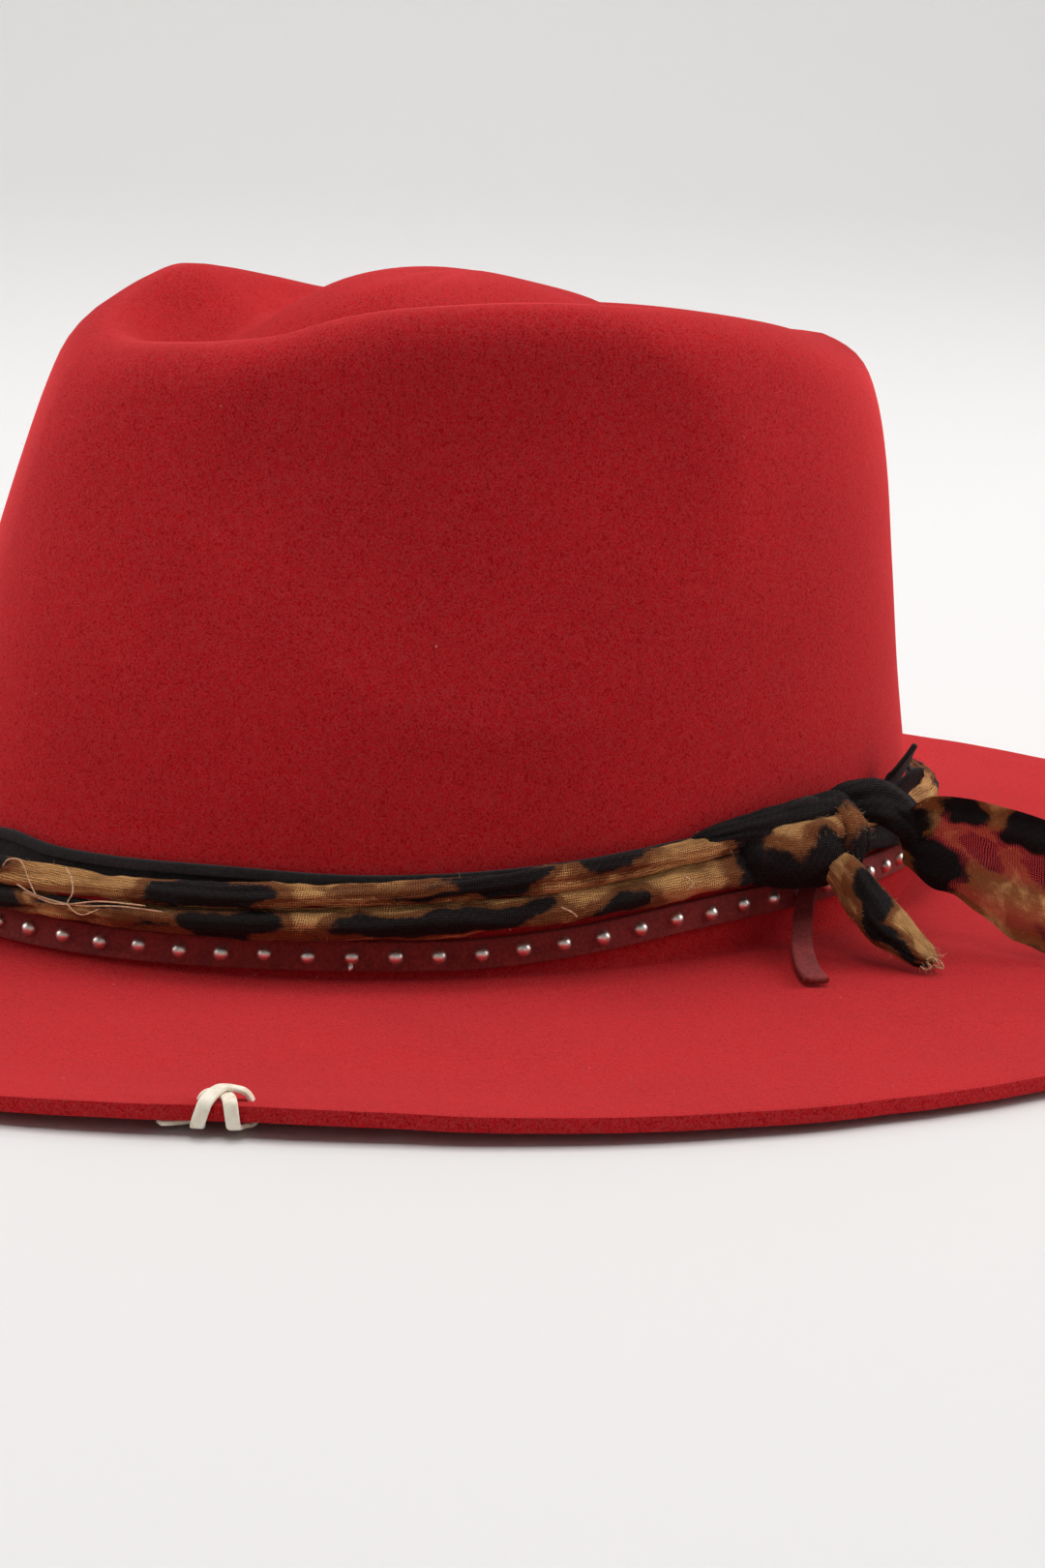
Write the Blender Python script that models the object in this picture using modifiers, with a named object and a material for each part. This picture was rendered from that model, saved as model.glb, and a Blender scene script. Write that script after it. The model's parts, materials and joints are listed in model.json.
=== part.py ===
"""A red felt rancher hat, standing on its brim.

The felt body is one shell: a teardrop crown with two side pinches and a raised middle, and a wide flat brim.
Round the foot of the crown lie a black suede lace, a twisted leopard gauze scarf with a knot and two tails,
and a thin red strap with small dome studs. A cream lace is crossed over the brim's edge.

Metres, +Z up. The origin lies on the table, at the middle of the head opening. The wearer looks along -Y,
so +X is the wearer's left. A turn round the crown is counted from the front (0) over the wearer's left (90)
to the back (180).
"""

import math

import bmesh
import bpy
from mathutils import Matrix, Vector

MM = 0.001

# Felt
FELT = 2.5
FELT_SEGMENTS = 56
GAP = 0.3

# Brim: from the crown's foot (share 0) to the edge (share 1). rise is the underside's height in mm, and
# curl the part of the edge's own lift that is reached there.
BRIM_ROWS = (
    dict(share=1.00, rise=0.0, curl=1.00),
    dict(share=0.93, rise=0.0, curl=0.78),
    dict(share=0.78, rise=0.0, curl=0.28),
    dict(share=0.58, rise=0.0, curl=0.0),
    dict(share=0.24, rise=0.0, curl=0.0),
    dict(share=0.12, rise=0.2, curl=0.0),
    dict(share=0.045, rise=0.9, curl=0.0),
)
# The brim's width and the lift of its edge, by the turn on either side.
EDGE_ROWS = (
    dict(turn=0.0, width=89.0, lift=1.6),
    dict(turn=45.0, width=86.3, lift=1.9),
    dict(turn=62.0, width=84.6, lift=2.4),
    dict(turn=76.0, width=88.6, lift=1.8),
    dict(turn=92.0, width=90.8, lift=1.3),
    dict(turn=130.0, width=91.4, lift=1.1),
    dict(turn=180.0, width=88.0, lift=1.4),
)

# Crown wall, inner side: from its foot (share 0) to the rim's crest (share 1). front, side and back are the
# reach of each section along -Y, X and +Y, and middle is where it is widest.
FOOT_HEIGHT = 2.0
WALL_ROWS = (
    dict(share=0.00, front=102.0, side=85.0, back=103.0, middle=0.0),
    dict(share=0.035, front=99.6, side=83.6, back=102.0, middle=0.3),
    dict(share=0.10, front=97.2, side=82.4, back=101.5, middle=1.0),
    dict(share=0.20, front=93.8, side=80.8, back=100.6, middle=2.0),
    dict(share=0.40, front=87.3, side=77.1, back=97.9, middle=4.0),
    dict(share=0.60, front=81.3, side=73.1, back=96.2, middle=6.0),
    dict(share=0.78, front=76.0, side=69.3, back=94.5, middle=8.0),
    dict(share=0.90, front=71.6, side=66.0, back=92.0, middle=9.0),
    dict(share=0.965, front=68.0, side=62.8, back=88.6, middle=10.0),
    dict(share=1.00, front=62.5, side=57.0, back=82.0, middle=10.0),
)
# Height of the rim's crest, inner side: the wearer's left has turns above 0, the right below. The hat was
# shaped by hand, so its right rim dips sooner than its left.
RIM_ROWS = (
    dict(turn=-180.0, height=107.5),
    dict(turn=-140.0, height=109.5),
    dict(turn=-105.0, height=110.0),
    dict(turn=-84.0, height=111.8),
    dict(turn=-70.0, height=115.0),
    dict(turn=-57.0, height=117.4),
    dict(turn=-43.0, height=118.4),
    dict(turn=-25.0, height=114.4),
    dict(turn=0.0, height=108.0),
    dict(turn=20.0, height=108.2),
    dict(turn=38.0, height=110.4),
    dict(turn=50.0, height=114.0),
    dict(turn=64.0, height=116.8),
    dict(turn=84.0, height=118.2),
    dict(turn=104.0, height=116.8),
    dict(turn=120.0, height=114.4),
    dict(turn=141.0, height=110.4),
    dict(turn=180.0, height=107.5),
)
# Side pinches: the line of each hollow up the wall, and how far it is pressed in.
PINCH_SPREAD = 25.0
PINCH_ROWS = (
    dict(share=0.05, turn=72.0, depth=0.0),
    dict(share=0.35, turn=63.0, depth=3.0),
    dict(share=0.60, turn=53.0, depth=6.0),
    dict(share=0.80, turn=46.0, depth=8.0),
    dict(share=1.00, turn=42.0, depth=6.5),
)
# Strap: red suede against the crown's foot, rising toward the knot. height is its middle's.
STRAP_WIDTH = 5.2
STRAP_THICKNESS = 1.3
STRAP_OFF = 0.5
STRAP_SEGMENTS = 72
STRAP_ROWS = (
    dict(turn=-180.0, height=8.0),
    dict(turn=-90.0, height=7.8),
    dict(turn=0.0, height=7.7),
    dict(turn=75.0, height=7.8),
    dict(turn=88.0, height=9.3),
    dict(turn=100.0, height=11.4),
    dict(turn=110.0, height=12.2),
    dict(turn=137.0, height=12.4),
    dict(turn=158.0, height=9.6),
    dict(turn=180.0, height=8.0),
)
STUD_COUNT = 80
STUD_WIDTH = 2.3
STUD_HEIGHT = 0.9
STUD_SIDES = 6
STUD_RINGS = 4
STUD_FIRST_TURN = 27.7

# Scarf: two rope-like rolls, one on the other. low and top are the heights of its lower and upper side, seam
# the fold between the rolls, and thick how far it stands out from the felt. The rolls overlap a little, and
# the upper one lies behind the lower one's front and before the lace.
SCARF_SEGMENTS = 52
SCARF_OVERLAP = 0.3
SCARF_OFF = 0.5
SCARF_STEP = 0.8
SCARF_FOLD = 0.68
LOWER_ROLL_ANGLES = (-150, -110, -70, -30, 5, 35)
UPPER_ROLL_ANGLES = (-30, 10, 50, 90, 130, 165)
SCARF_ROWS = (
    dict(turn=-180.0, low=11.0, seam=16.6, top=22.2, thick=7.0),
    dict(turn=-90.0, low=10.8, seam=16.4, top=22.0, thick=7.4),
    dict(turn=0.0, low=10.8, seam=15.6, top=20.6, thick=7.4),
    dict(turn=25.0, low=10.8, seam=15.2, top=20.6, thick=7.4),
    dict(turn=42.0, low=10.8, seam=16.0, top=21.6, thick=7.2),
    dict(turn=68.0, low=11.0, seam=17.2, top=21.4, thick=7.4),
    dict(turn=88.0, low=13.4, seam=19.2, top=24.4, thick=7.2),
    dict(turn=104.0, low=16.0, seam=22.2, top=27.0, thick=6.6),
    dict(turn=113.0, low=16.8, seam=22.4, top=27.4, thick=4.4),
    dict(turn=130.0, low=16.4, seam=21.4, top=26.6, thick=4.4),
    dict(turn=144.0, low=14.4, seam=19.6, top=24.8, thick=6.2),
    dict(turn=180.0, low=11.0, seam=16.6, top=22.2, thick=7.0),
)
LACE_THICKNESS = 1.2
LACE_ROWS = (
    dict(turn=-180.0, low=18.2, top=22.8),
    dict(turn=-90.0, low=18.0, top=22.6),
    dict(turn=0.0, low=17.6, top=22.3),
    dict(turn=50.0, low=17.6, top=22.3),
    dict(turn=68.0, low=17.4, top=21.6),
    dict(turn=88.0, low=19.4, top=23.6),
    dict(turn=104.0, low=21.8, top=26.2),
    dict(turn=130.0, low=21.6, top=26.0),
    dict(turn=150.0, low=19.4, top=24.0),
    dict(turn=180.0, low=18.2, top=22.8),
)

# Knot and the scarf's two ends. Every out is counted from the crown's outer side, and every height from the
# table. The knot's size is its length round the crown, its depth and its height.
KNOT_TURN = 121.0
KNOT_HEIGHT = 24.2
KNOT_SIZE = Vector((22.0, 11.0, 16.5))
KNOT_SIDES = 14
KNOT_RINGS = 8
TAIL_SIDES = 10
TAIL_ROWS = (
    dict(turn=118.4, out=11.0, height=16.0, radius=3.4),
    dict(turn=118.0, out=15.0, height=11.8, radius=4.3),
    dict(turn=118.0, out=20.0, height=8.6, radius=4.1),
    dict(turn=117.9, out=24.6, height=6.6, radius=3.3),
    dict(turn=117.8, out=27.8, height=5.2, radius=2.3),
    dict(turn=117.6, out=30.0, height=4.2, radius=1.2),
)
# Wide tail: a fan of gauze that stands on its lower edge. along counts backward from the knot; high and low
# are its two edges' heights, lean how far the lower edge stands farther out, and fold the depth of its waves.
WIDE_START = Vector((78.9, 68.5))
WIDE_HEADING = 36.0
WIDE_THICKNESS = 1.0
WIDE_ACROSS = 8
WIDE_ROWS = (
    dict(along=0.0, high=30.0, low=21.6, lean=0.0, fold=0.6),
    dict(along=6.0, high=31.0, low=16.4, lean=0.4, fold=1.2),
    dict(along=12.0, high=30.6, low=11.0, lean=1.6, fold=1.6),
    dict(along=18.0, high=29.6, low=6.8, lean=4.4, fold=2.0),
    dict(along=25.0, high=28.0, low=4.0, lean=7.6, fold=2.4),
    dict(along=36.0, high=24.4, low=3.7, lean=11.0, fold=2.4),
    dict(along=48.0, high=18.0, low=3.6, lean=14.0, fold=2.0),
    dict(along=58.0, high=10.4, low=3.5, lean=17.0, fold=1.4),
)
# Cut ends: points in mm that each lace passes, with its width there.
BLACK_END_ROWS = (
    dict(turn=135.4, out=2.6, height=27.2, width=4.2),
    dict(turn=136.2, out=4.0, height=29.6, width=5.0),
    dict(turn=136.4, out=6.2, height=32.8, width=4.2),
    dict(turn=136.2, out=8.6, height=36.2, width=0.8),
)
STRAP_END_ROWS = (
    dict(turn=118.6, out=3.8, height=10.0, width=3.4),
    dict(turn=114.6, out=7.6, height=7.6, width=3.6),
    dict(turn=111.2, out=11.8, height=5.2, width=3.8),
    dict(turn=108.0, out=17.7, height=4.0, width=4.0),
    dict(turn=105.4, out=24.4, height=3.7, width=4.2),
)
# Cream lace over the brim's edge.
STITCH_TURN = 59.0
STITCH_INSET = 5.5
STITCH_SPACING = 8.3
STITCH_WIDTH = 2.3
STITCH_THICKNESS = 0.9
STITCH_BORE = 3.1
BORE_SIDES = 12

# Teardrop dent: from the rim's crest (share 0) to the middle of the raised centre (share 1). The columns are
# how far it lies below (or above) a straight line between the two, toward the front, side and back.
CENTRE = Vector((0.0, 11.0))
CENTRE_HEIGHT = 119.8
DENT_ROWS = (
    dict(share=0.05, front=-1.2, side=-1.0, back=-0.8),
    dict(share=0.14, front=-6.5, side=-5.0, back=-3.6),
    dict(share=0.27, front=-10.7, side=-9.6, back=-7.4),
    dict(share=0.39, front=-8.0, side=-10.3, back=-7.4),
    dict(share=0.52, front=-2.2, side=-8.0, back=-4.6),
    dict(share=0.66, front=1.2, side=-4.0, back=-1.4),
    dict(share=0.82, front=1.6, side=-0.9, back=-0.2),
)


def between(rows, key, column, at):
    """A table's column at any key, by a smooth curve through its rows."""
    rows = sorted(rows, key=lambda row: row[key])
    if at <= rows[0][key]:
        return rows[0][column]
    if at >= rows[-1][key]:
        return rows[-1][column]
    high = next(i for i, row in enumerate(rows) if row[key] >= at)
    low = high - 1

    def slope(i):
        first = rows[max(i - 1, 0)]
        last = rows[min(i + 1, len(rows) - 1)]
        return (last[column] - first[column]) / (last[key] - first[key])

    width = rows[high][key] - rows[low][key]
    t = (at - rows[low][key]) / width
    start, end = rows[low][column], rows[high][column]
    return (
        start * (2 * t**3 - 3 * t**2 + 1)
        + end * (3 * t**2 - 2 * t**3)
        + width * slope(low) * (t**3 - 2 * t**2 + t)
        + width * slope(high) * (t**3 - t**2)
    )


def signed(turn):
    """A turn in degrees brought to -180..180."""
    return (turn + 180.0) % 360.0 - 180.0


def folded(turn):
    """A turn in degrees brought to 0..180, which is the same on either side."""
    return abs(signed(turn))


def oval(turn, front, side, back, middle):
    """A point of an egg-shaped outline, by the turn in degrees."""
    angle = math.radians(turn)
    reach = front + middle if math.cos(angle) > 0 else back - middle
    return Vector((side * math.sin(angle), middle - reach * math.cos(angle)))


def wall_point(turn, share):
    """A point of the crown wall's inner side in mm, with the pinches pressed in."""
    size = {name: between(WALL_ROWS, "share", name, share) for name in ("front", "side", "back", "middle")}
    flat = oval(turn, **size)
    off = folded(turn) - between(PINCH_ROWS, "share", "turn", share)
    depth = between(PINCH_ROWS, "share", "depth", share) * math.exp(-((off / PINCH_SPREAD) ** 2))
    flat = flat - (flat - Vector((0.0, size["middle"]))).normalized() * depth
    rim = between(RIM_ROWS, "turn", "height", signed(turn))
    return Vector((flat.x, flat.y, FOOT_HEIGHT + (rim - FOOT_HEIGHT) * share))


def top_point(turn, share):
    """A point of the dented top's inner side in mm."""
    crest = wall_point(turn, 1.0)
    flat = crest.xy.lerp(CENTRE, share)
    ahead = math.cos(math.radians(turn))
    lengthwise = ahead**2
    end = "front" if ahead > 0 else "back"
    dip = lengthwise * between(DENT_ROWS, "share", end, share)
    dip += (1 - lengthwise) * between(DENT_ROWS, "share", "side", share)
    return Vector((flat.x, flat.y, crest.z + (CENTRE_HEIGHT - crest.z) * share + dip))


def brim_point(turn, share):
    """A point of the brim's underside in mm."""
    foot = wall_point(turn, 0.0).xy
    ahead = wall_point(turn + 0.5, 0.0).xy - wall_point(turn - 0.5, 0.0).xy
    outward = Vector((ahead.y, -ahead.x)).normalized()
    width = between(EDGE_ROWS, "turn", "width", folded(turn))
    lift = between(EDGE_ROWS, "turn", "lift", folded(turn))
    height = between(BRIM_ROWS, "share", "rise", share) + lift * between(BRIM_ROWS, "share", "curl", share)
    flat = foot + outward * width * share
    return Vector((flat.x, flat.y, height))


def beside(turn, height, out):
    """A point in mm beside the crown wall, at a height above the table and so far off the felt's outer side."""
    rim = between(RIM_ROWS, "turn", "height", signed(turn))
    share = max((height - FOOT_HEIGHT) / (rim - FOOT_HEIGHT), 0.0)
    here = wall_point(turn, share)
    ahead = wall_point(turn + 0.5, share) - wall_point(turn - 0.5, share)
    up = wall_point(turn, share + 0.02) - here
    outward = ahead.cross(up).normalized()
    flat = here.xy + outward.xy.normalized() * (FELT / outward.xy.length + out)
    return Vector((flat.x, flat.y, height))


def turns(count):
    """Evenly spaced turns once round, in degrees."""
    return [360.0 * i / count for i in range(count)]


def even_turns(count, first, point_at):
    """Turns that space count points evenly along a loop, the first of them at a given turn."""
    fine = [first + degree for degree in range(361)]
    points = [point_at(turn) for turn in fine]
    along = [0.0]
    for here, following in zip(points, points[1:]):
        along.append(along[-1] + (following - here).length)
    found = []
    for i in range(count):
        wanted = along[-1] * i / count
        high = next(j for j, length in enumerate(along) if length > wanted)
        part = (wanted - along[high - 1]) / (along[high] - along[high - 1])
        found.append(fine[high - 1] + part)
    return found


def material(name, colour, roughness, metallic=0.0):
    """A Principled material of one colour."""
    made = bpy.data.materials.new(name)
    made.use_nodes = True
    shader = made.node_tree.nodes["Principled BSDF"]
    shader.inputs["Base Color"].default_value = (*colour, 1.0)
    shader.inputs["Roughness"].default_value = roughness
    shader.inputs["Metallic"].default_value = metallic
    made.diffuse_color = (*colour, 1.0)
    return made


def node(name, bm, finish, home, smooth_angle=40.0):
    """Puts a bmesh in mm into the scene as one named object."""
    bmesh.ops.scale(bm, vec=(MM, MM, MM), verts=bm.verts)
    mesh = bpy.data.meshes.new(name)
    bm.to_mesh(mesh)
    bm.free()
    if finish:
        mesh.materials.append(finish)
    mesh.shade_smooth()
    mesh.set_sharp_from_angle(angle=math.radians(smooth_angle))
    made = bpy.data.objects.new(name, mesh)
    home.objects.link(made)
    return made


def loft(rings, closed_loop=False, caps=True):
    """A tube of faces through rings of points: round a closed loop, or with an end cap at each end."""
    bm = bmesh.new()
    loops = [[bm.verts.new(point) for point in ring] for ring in rings]
    pairs = list(zip(loops, loops[1:]))
    if closed_loop:
        pairs.append((loops[-1], loops[0]))
    for ring, following in pairs:
        for i in range(len(ring)):
            j = (i + 1) % len(ring)
            bm.faces.new((ring[i], ring[j], following[j], following[i]))
    if caps and not closed_loop:
        bm.faces.new(loops[0])
        bm.faces.new(loops[-1])
    bmesh.ops.recalc_face_normals(bm, faces=bm.faces)
    return bm


def felt_body(finish, home):
    """Crown and brim as one shell: the under and inner side, thickened outward."""
    rings = [[brim_point(turn, row["share"]) for turn in turns(FELT_SEGMENTS)] for row in BRIM_ROWS]
    rings += [[wall_point(turn, row["share"]) for turn in turns(FELT_SEGMENTS)] for row in WALL_ROWS]
    rings += [[top_point(turn, row["share"]) for turn in turns(FELT_SEGMENTS)] for row in DENT_ROWS]
    bm = loft(rings, caps=False)
    bm.verts.ensure_lookup_table()
    last = bm.verts[-FELT_SEGMENTS:]
    middle = bm.verts.new((CENTRE.x, CENTRE.y, CENTRE_HEIGHT))
    for first, second in zip(last, last[1:] + last[:1]):
        bm.faces.new((first, second, middle))
    bmesh.ops.recalc_face_normals(bm, faces=bm.faces)
    top = max(bm.faces, key=lambda face: face.calc_center_median().z)
    if top.normal.z < 0:
        bmesh.ops.reverse_faces(bm, faces=bm.faces)
    body = node("felt_body", bm, finish, home)
    thick = body.modifiers.new("felt", "SOLIDIFY")
    thick.thickness = FELT * MM
    thick.offset = 1.0
    thick.use_even_offset = True
    return body


def cutter(name, bm, home):
    """Puts a bmesh in mm into the scene as a helper that isn't part of the hat."""
    made = node(name, bm, None, home)
    made.hide_render = True
    made.display_type = "WIRE"
    return made


def join_or_cut(body, other, operation):
    """Adds an exact Boolean to a body."""
    boolean = body.modifiers.new(other.name, "BOOLEAN")
    boolean.operation = operation
    boolean.object = other


def flat_band(name, rows, width, off, thickness, segments, finish, home):
    """A flat strip that goes once round the crown's foot, a little off the felt."""
    rings = []
    for turn in turns(segments):
        if width:
            middle = between(rows, "turn", "height", signed(turn))
            low, top = middle - width / 2, middle + width / 2
        else:
            low = between(rows, "turn", "low", signed(turn))
            top = between(rows, "turn", "top", signed(turn))
        outs = ((low, off), (low, off + thickness), (top, off + thickness), (top, off))
        rings.append([beside(turn, height, out) for height, out in outs])
    return node(name, loft(rings, closed_loop=True), finish, home)


def strap_face(turn):
    """The middle of the strap's outer face."""
    return beside(turn, between(STRAP_ROWS, "turn", "height", signed(turn)), STRAP_OFF + STRAP_THICKNESS)


def studded_strap(finish, home, helpers):
    """The red strap with its dome studs, one body."""
    strap = flat_band(
        "studded_strap", STRAP_ROWS, STRAP_WIDTH, STRAP_OFF, STRAP_THICKNESS, STRAP_SEGMENTS, finish, home
    )
    domes = bmesh.new()
    size = (STUD_WIDTH / 2, STUD_WIDTH / 2, STUD_HEIGHT)
    for turn in even_turns(STUD_COUNT, STUD_FIRST_TURN, strap_face):
        outward = strap_face(turn) - beside(turn, strap_face(turn).z, 0.0)
        place = Matrix.Translation(strap_face(turn)) @ outward.to_track_quat("Z", "Y").to_matrix().to_4x4()
        place = place @ Matrix.Diagonal((*size, 1.0))
        bmesh.ops.create_uvsphere(
            domes, u_segments=STUD_SIDES, v_segments=STUD_RINGS, radius=1.0, matrix=place
        )
    join_or_cut(strap, cutter("stud_domes", domes, helpers), "UNION")


def scarf_ring(turn):
    """The outline of the two rolls at one turn, from the lower roll's back round to the upper roll's back."""
    low, seam, top, thick = (
        between(SCARF_ROWS, "turn", column, signed(turn)) for column in ("low", "seam", "top", "thick")
    )
    lace_back = 2 * GAP + LACE_THICKNESS

    def roll(back, front, bottom, crest, angles):
        turned = [math.radians(angle) for angle in angles]
        middle = Vector((back + front, bottom + crest)) / 2
        reach = Vector((front - back, crest - bottom)) / 2
        return [(middle.x + reach.x * math.cos(a), middle.y + reach.y * math.sin(a)) for a in turned]

    outline = roll(SCARF_OFF, thick, low, seam + SCARF_OVERLAP, LOWER_ROLL_ANGLES)
    outline.append((SCARF_FOLD * thick, seam))
    outline += roll(lace_back, thick - SCARF_STEP, seam - SCARF_OVERLAP, top, UPPER_ROLL_ANGLES)
    outline.append((lace_back, between(LACE_ROWS, "turn", "low", signed(turn)) - GAP))
    return [beside(turn, height, out) for out, height in outline]


def scarf_band(finish, home):
    """The twisted scarf once round the crown."""
    rings = [scarf_ring(turn) for turn in turns(SCARF_SEGMENTS)]
    node("scarf_band", loft(rings, closed_loop=True), finish, home)


def scarf_knot(finish, home):
    """The knot as one rounded lump that sits on the outside of the band."""
    thick = between(SCARF_ROWS, "turn", "thick", KNOT_TURN)
    middle = beside(KNOT_TURN, KNOT_HEIGHT, thick + GAP + KNOT_SIZE.y / 2)
    outward = (middle - beside(KNOT_TURN, KNOT_HEIGHT, 0.0)).normalized()
    up = Vector((0.0, 0.0, 1.0))
    turned = Matrix((up.cross(outward), outward, up)).transposed().to_4x4()
    place = Matrix.Translation(middle) @ turned @ Matrix.Diagonal((*(KNOT_SIZE / 2), 1.0))
    bm = bmesh.new()
    bmesh.ops.create_uvsphere(bm, u_segments=KNOT_SIDES, v_segments=KNOT_RINGS, radius=1.0, matrix=place)
    if place.determinant() < 0:
        bmesh.ops.reverse_faces(bm, faces=bm.faces)
    node("scarf_knot", bm, finish, home)


def path_of(rows):
    """The points in mm of a table with turn, out and height."""
    return [beside(row["turn"], row["height"], row["out"]) for row in rows]


def tangents(points):
    """The direction of a path at each of its points."""
    last = len(points) - 1
    return [(points[min(i + 1, last)] - points[max(i - 1, 0)]).normalized() for i in range(last + 1)]


def scarf_short_tail(finish, home):
    """The short rolled end, a tapering tube down onto the brim."""
    points = path_of(TAIL_ROWS)
    rings = []
    for point, ahead, row in zip(points, tangents(points), TAIL_ROWS):
        across = ahead.cross(Vector((0.0, 0.0, 1.0))).normalized()
        over = across.cross(ahead)
        angles = [math.radians(turn) for turn in turns(TAIL_SIDES)]
        rings.append(
            [point + row["radius"] * (across * math.cos(a) + over * math.sin(a)) for a in angles]
        )
    node("scarf_short_tail", loft(rings), finish, home)


def scarf_wide_tail(finish, home):
    """The wide sheer end: a waved sheet from the knot, standing on the brim."""
    heading = math.radians(WIDE_HEADING)
    along = Vector((math.sin(heading), math.cos(heading)))
    outward = Vector((along.y, -along.x))
    bm = bmesh.new()
    grid = []
    for row in WIDE_ROWS:
        line = []
        for i in range(WIDE_ACROSS + 1):
            down = i / WIDE_ACROSS
            wave = row["fold"] * math.sin(3 * math.pi * down) * math.sin(math.pi * down)
            flat = WIDE_START + along * row["along"] + outward * (row["lean"] * down**1.5 + wave)
            line.append(bm.verts.new((flat.x, flat.y, row["high"] + (row["low"] - row["high"]) * down)))
        grid.append(line)
    for line, following in zip(grid, grid[1:]):
        for i in range(WIDE_ACROSS):
            bm.faces.new((line[i], line[i + 1], following[i + 1], following[i]))
    bmesh.ops.recalc_face_normals(bm, faces=bm.faces)
    tail = node("scarf_wide_tail", bm, finish, home)
    thick = tail.modifiers.new("gauze", "SOLIDIFY")
    thick.thickness = WIDE_THICKNESS * MM
    thick.offset = 0.0


def ribbon(name, points, widths, faces_toward, thickness, finish, home):
    """A flat strip along a path. faces_toward gives the direction that its broad side faces at each point."""
    rings = []
    for point, ahead, width, facing in zip(points, tangents(points), widths, faces_toward):
        across = ahead.cross(facing).normalized()
        over = across.cross(ahead) * thickness / 2
        half = across * width / 2
        rings.append([point - half - over, point + half - over, point + half + over, point - half + over])
    return node(name, loft(rings), finish, home)


def cut_ends(finish_black, finish_red, home):
    """The black lace's upright end behind the knot, and the red strap's end on the brim."""
    first = BLACK_END_ROWS[0]
    off_the_wall = beside(first["turn"], first["height"], 1.0) - beside(first["turn"], first["height"], 0.0)
    upward = Vector((0.0, 0.0, 1.0))
    for name, rows, facing, thickness, finish in (
        ("black_lace_end", BLACK_END_ROWS, off_the_wall, LACE_THICKNESS, finish_black),
        ("strap_lace_end", STRAP_END_ROWS, upward, STRAP_THICKNESS, finish_red),
    ):
        widths = [row["width"] for row in rows]
        ribbon(name, path_of(rows), widths, [facing] * len(rows), thickness, finish, home)


def stitch_place():
    """The stitch's own frame on the brim: the edge's point, outward, along the edge, and the hole's heights."""
    width = between(EDGE_ROWS, "turn", "width", STITCH_TURN)
    edge = brim_point(STITCH_TURN, 1.0)
    hole = brim_point(STITCH_TURN, 1.0 - STITCH_INSET / width)
    outward = (edge.xy - hole.xy).normalized()
    return edge, outward, Vector((-outward.y, outward.x)), hole.z


def brim_bores(home):
    """Two bores through the felt that the cream lace passes."""
    edge, outward, along, under = stitch_place()
    bm = bmesh.new()
    for side in (-1, 1):
        flat = edge.xy - outward * STITCH_INSET + along * side * STITCH_SPACING / 2
        place = Matrix.Translation((flat.x, flat.y, under + FELT / 2))
        bmesh.ops.create_cone(
            bm, cap_ends=True, segments=BORE_SIDES, radius1=STITCH_BORE / 2, radius2=STITCH_BORE / 2,
            depth=FELT * 4, matrix=place,
        )
    return cutter("brim_bores", bm, home)


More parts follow.
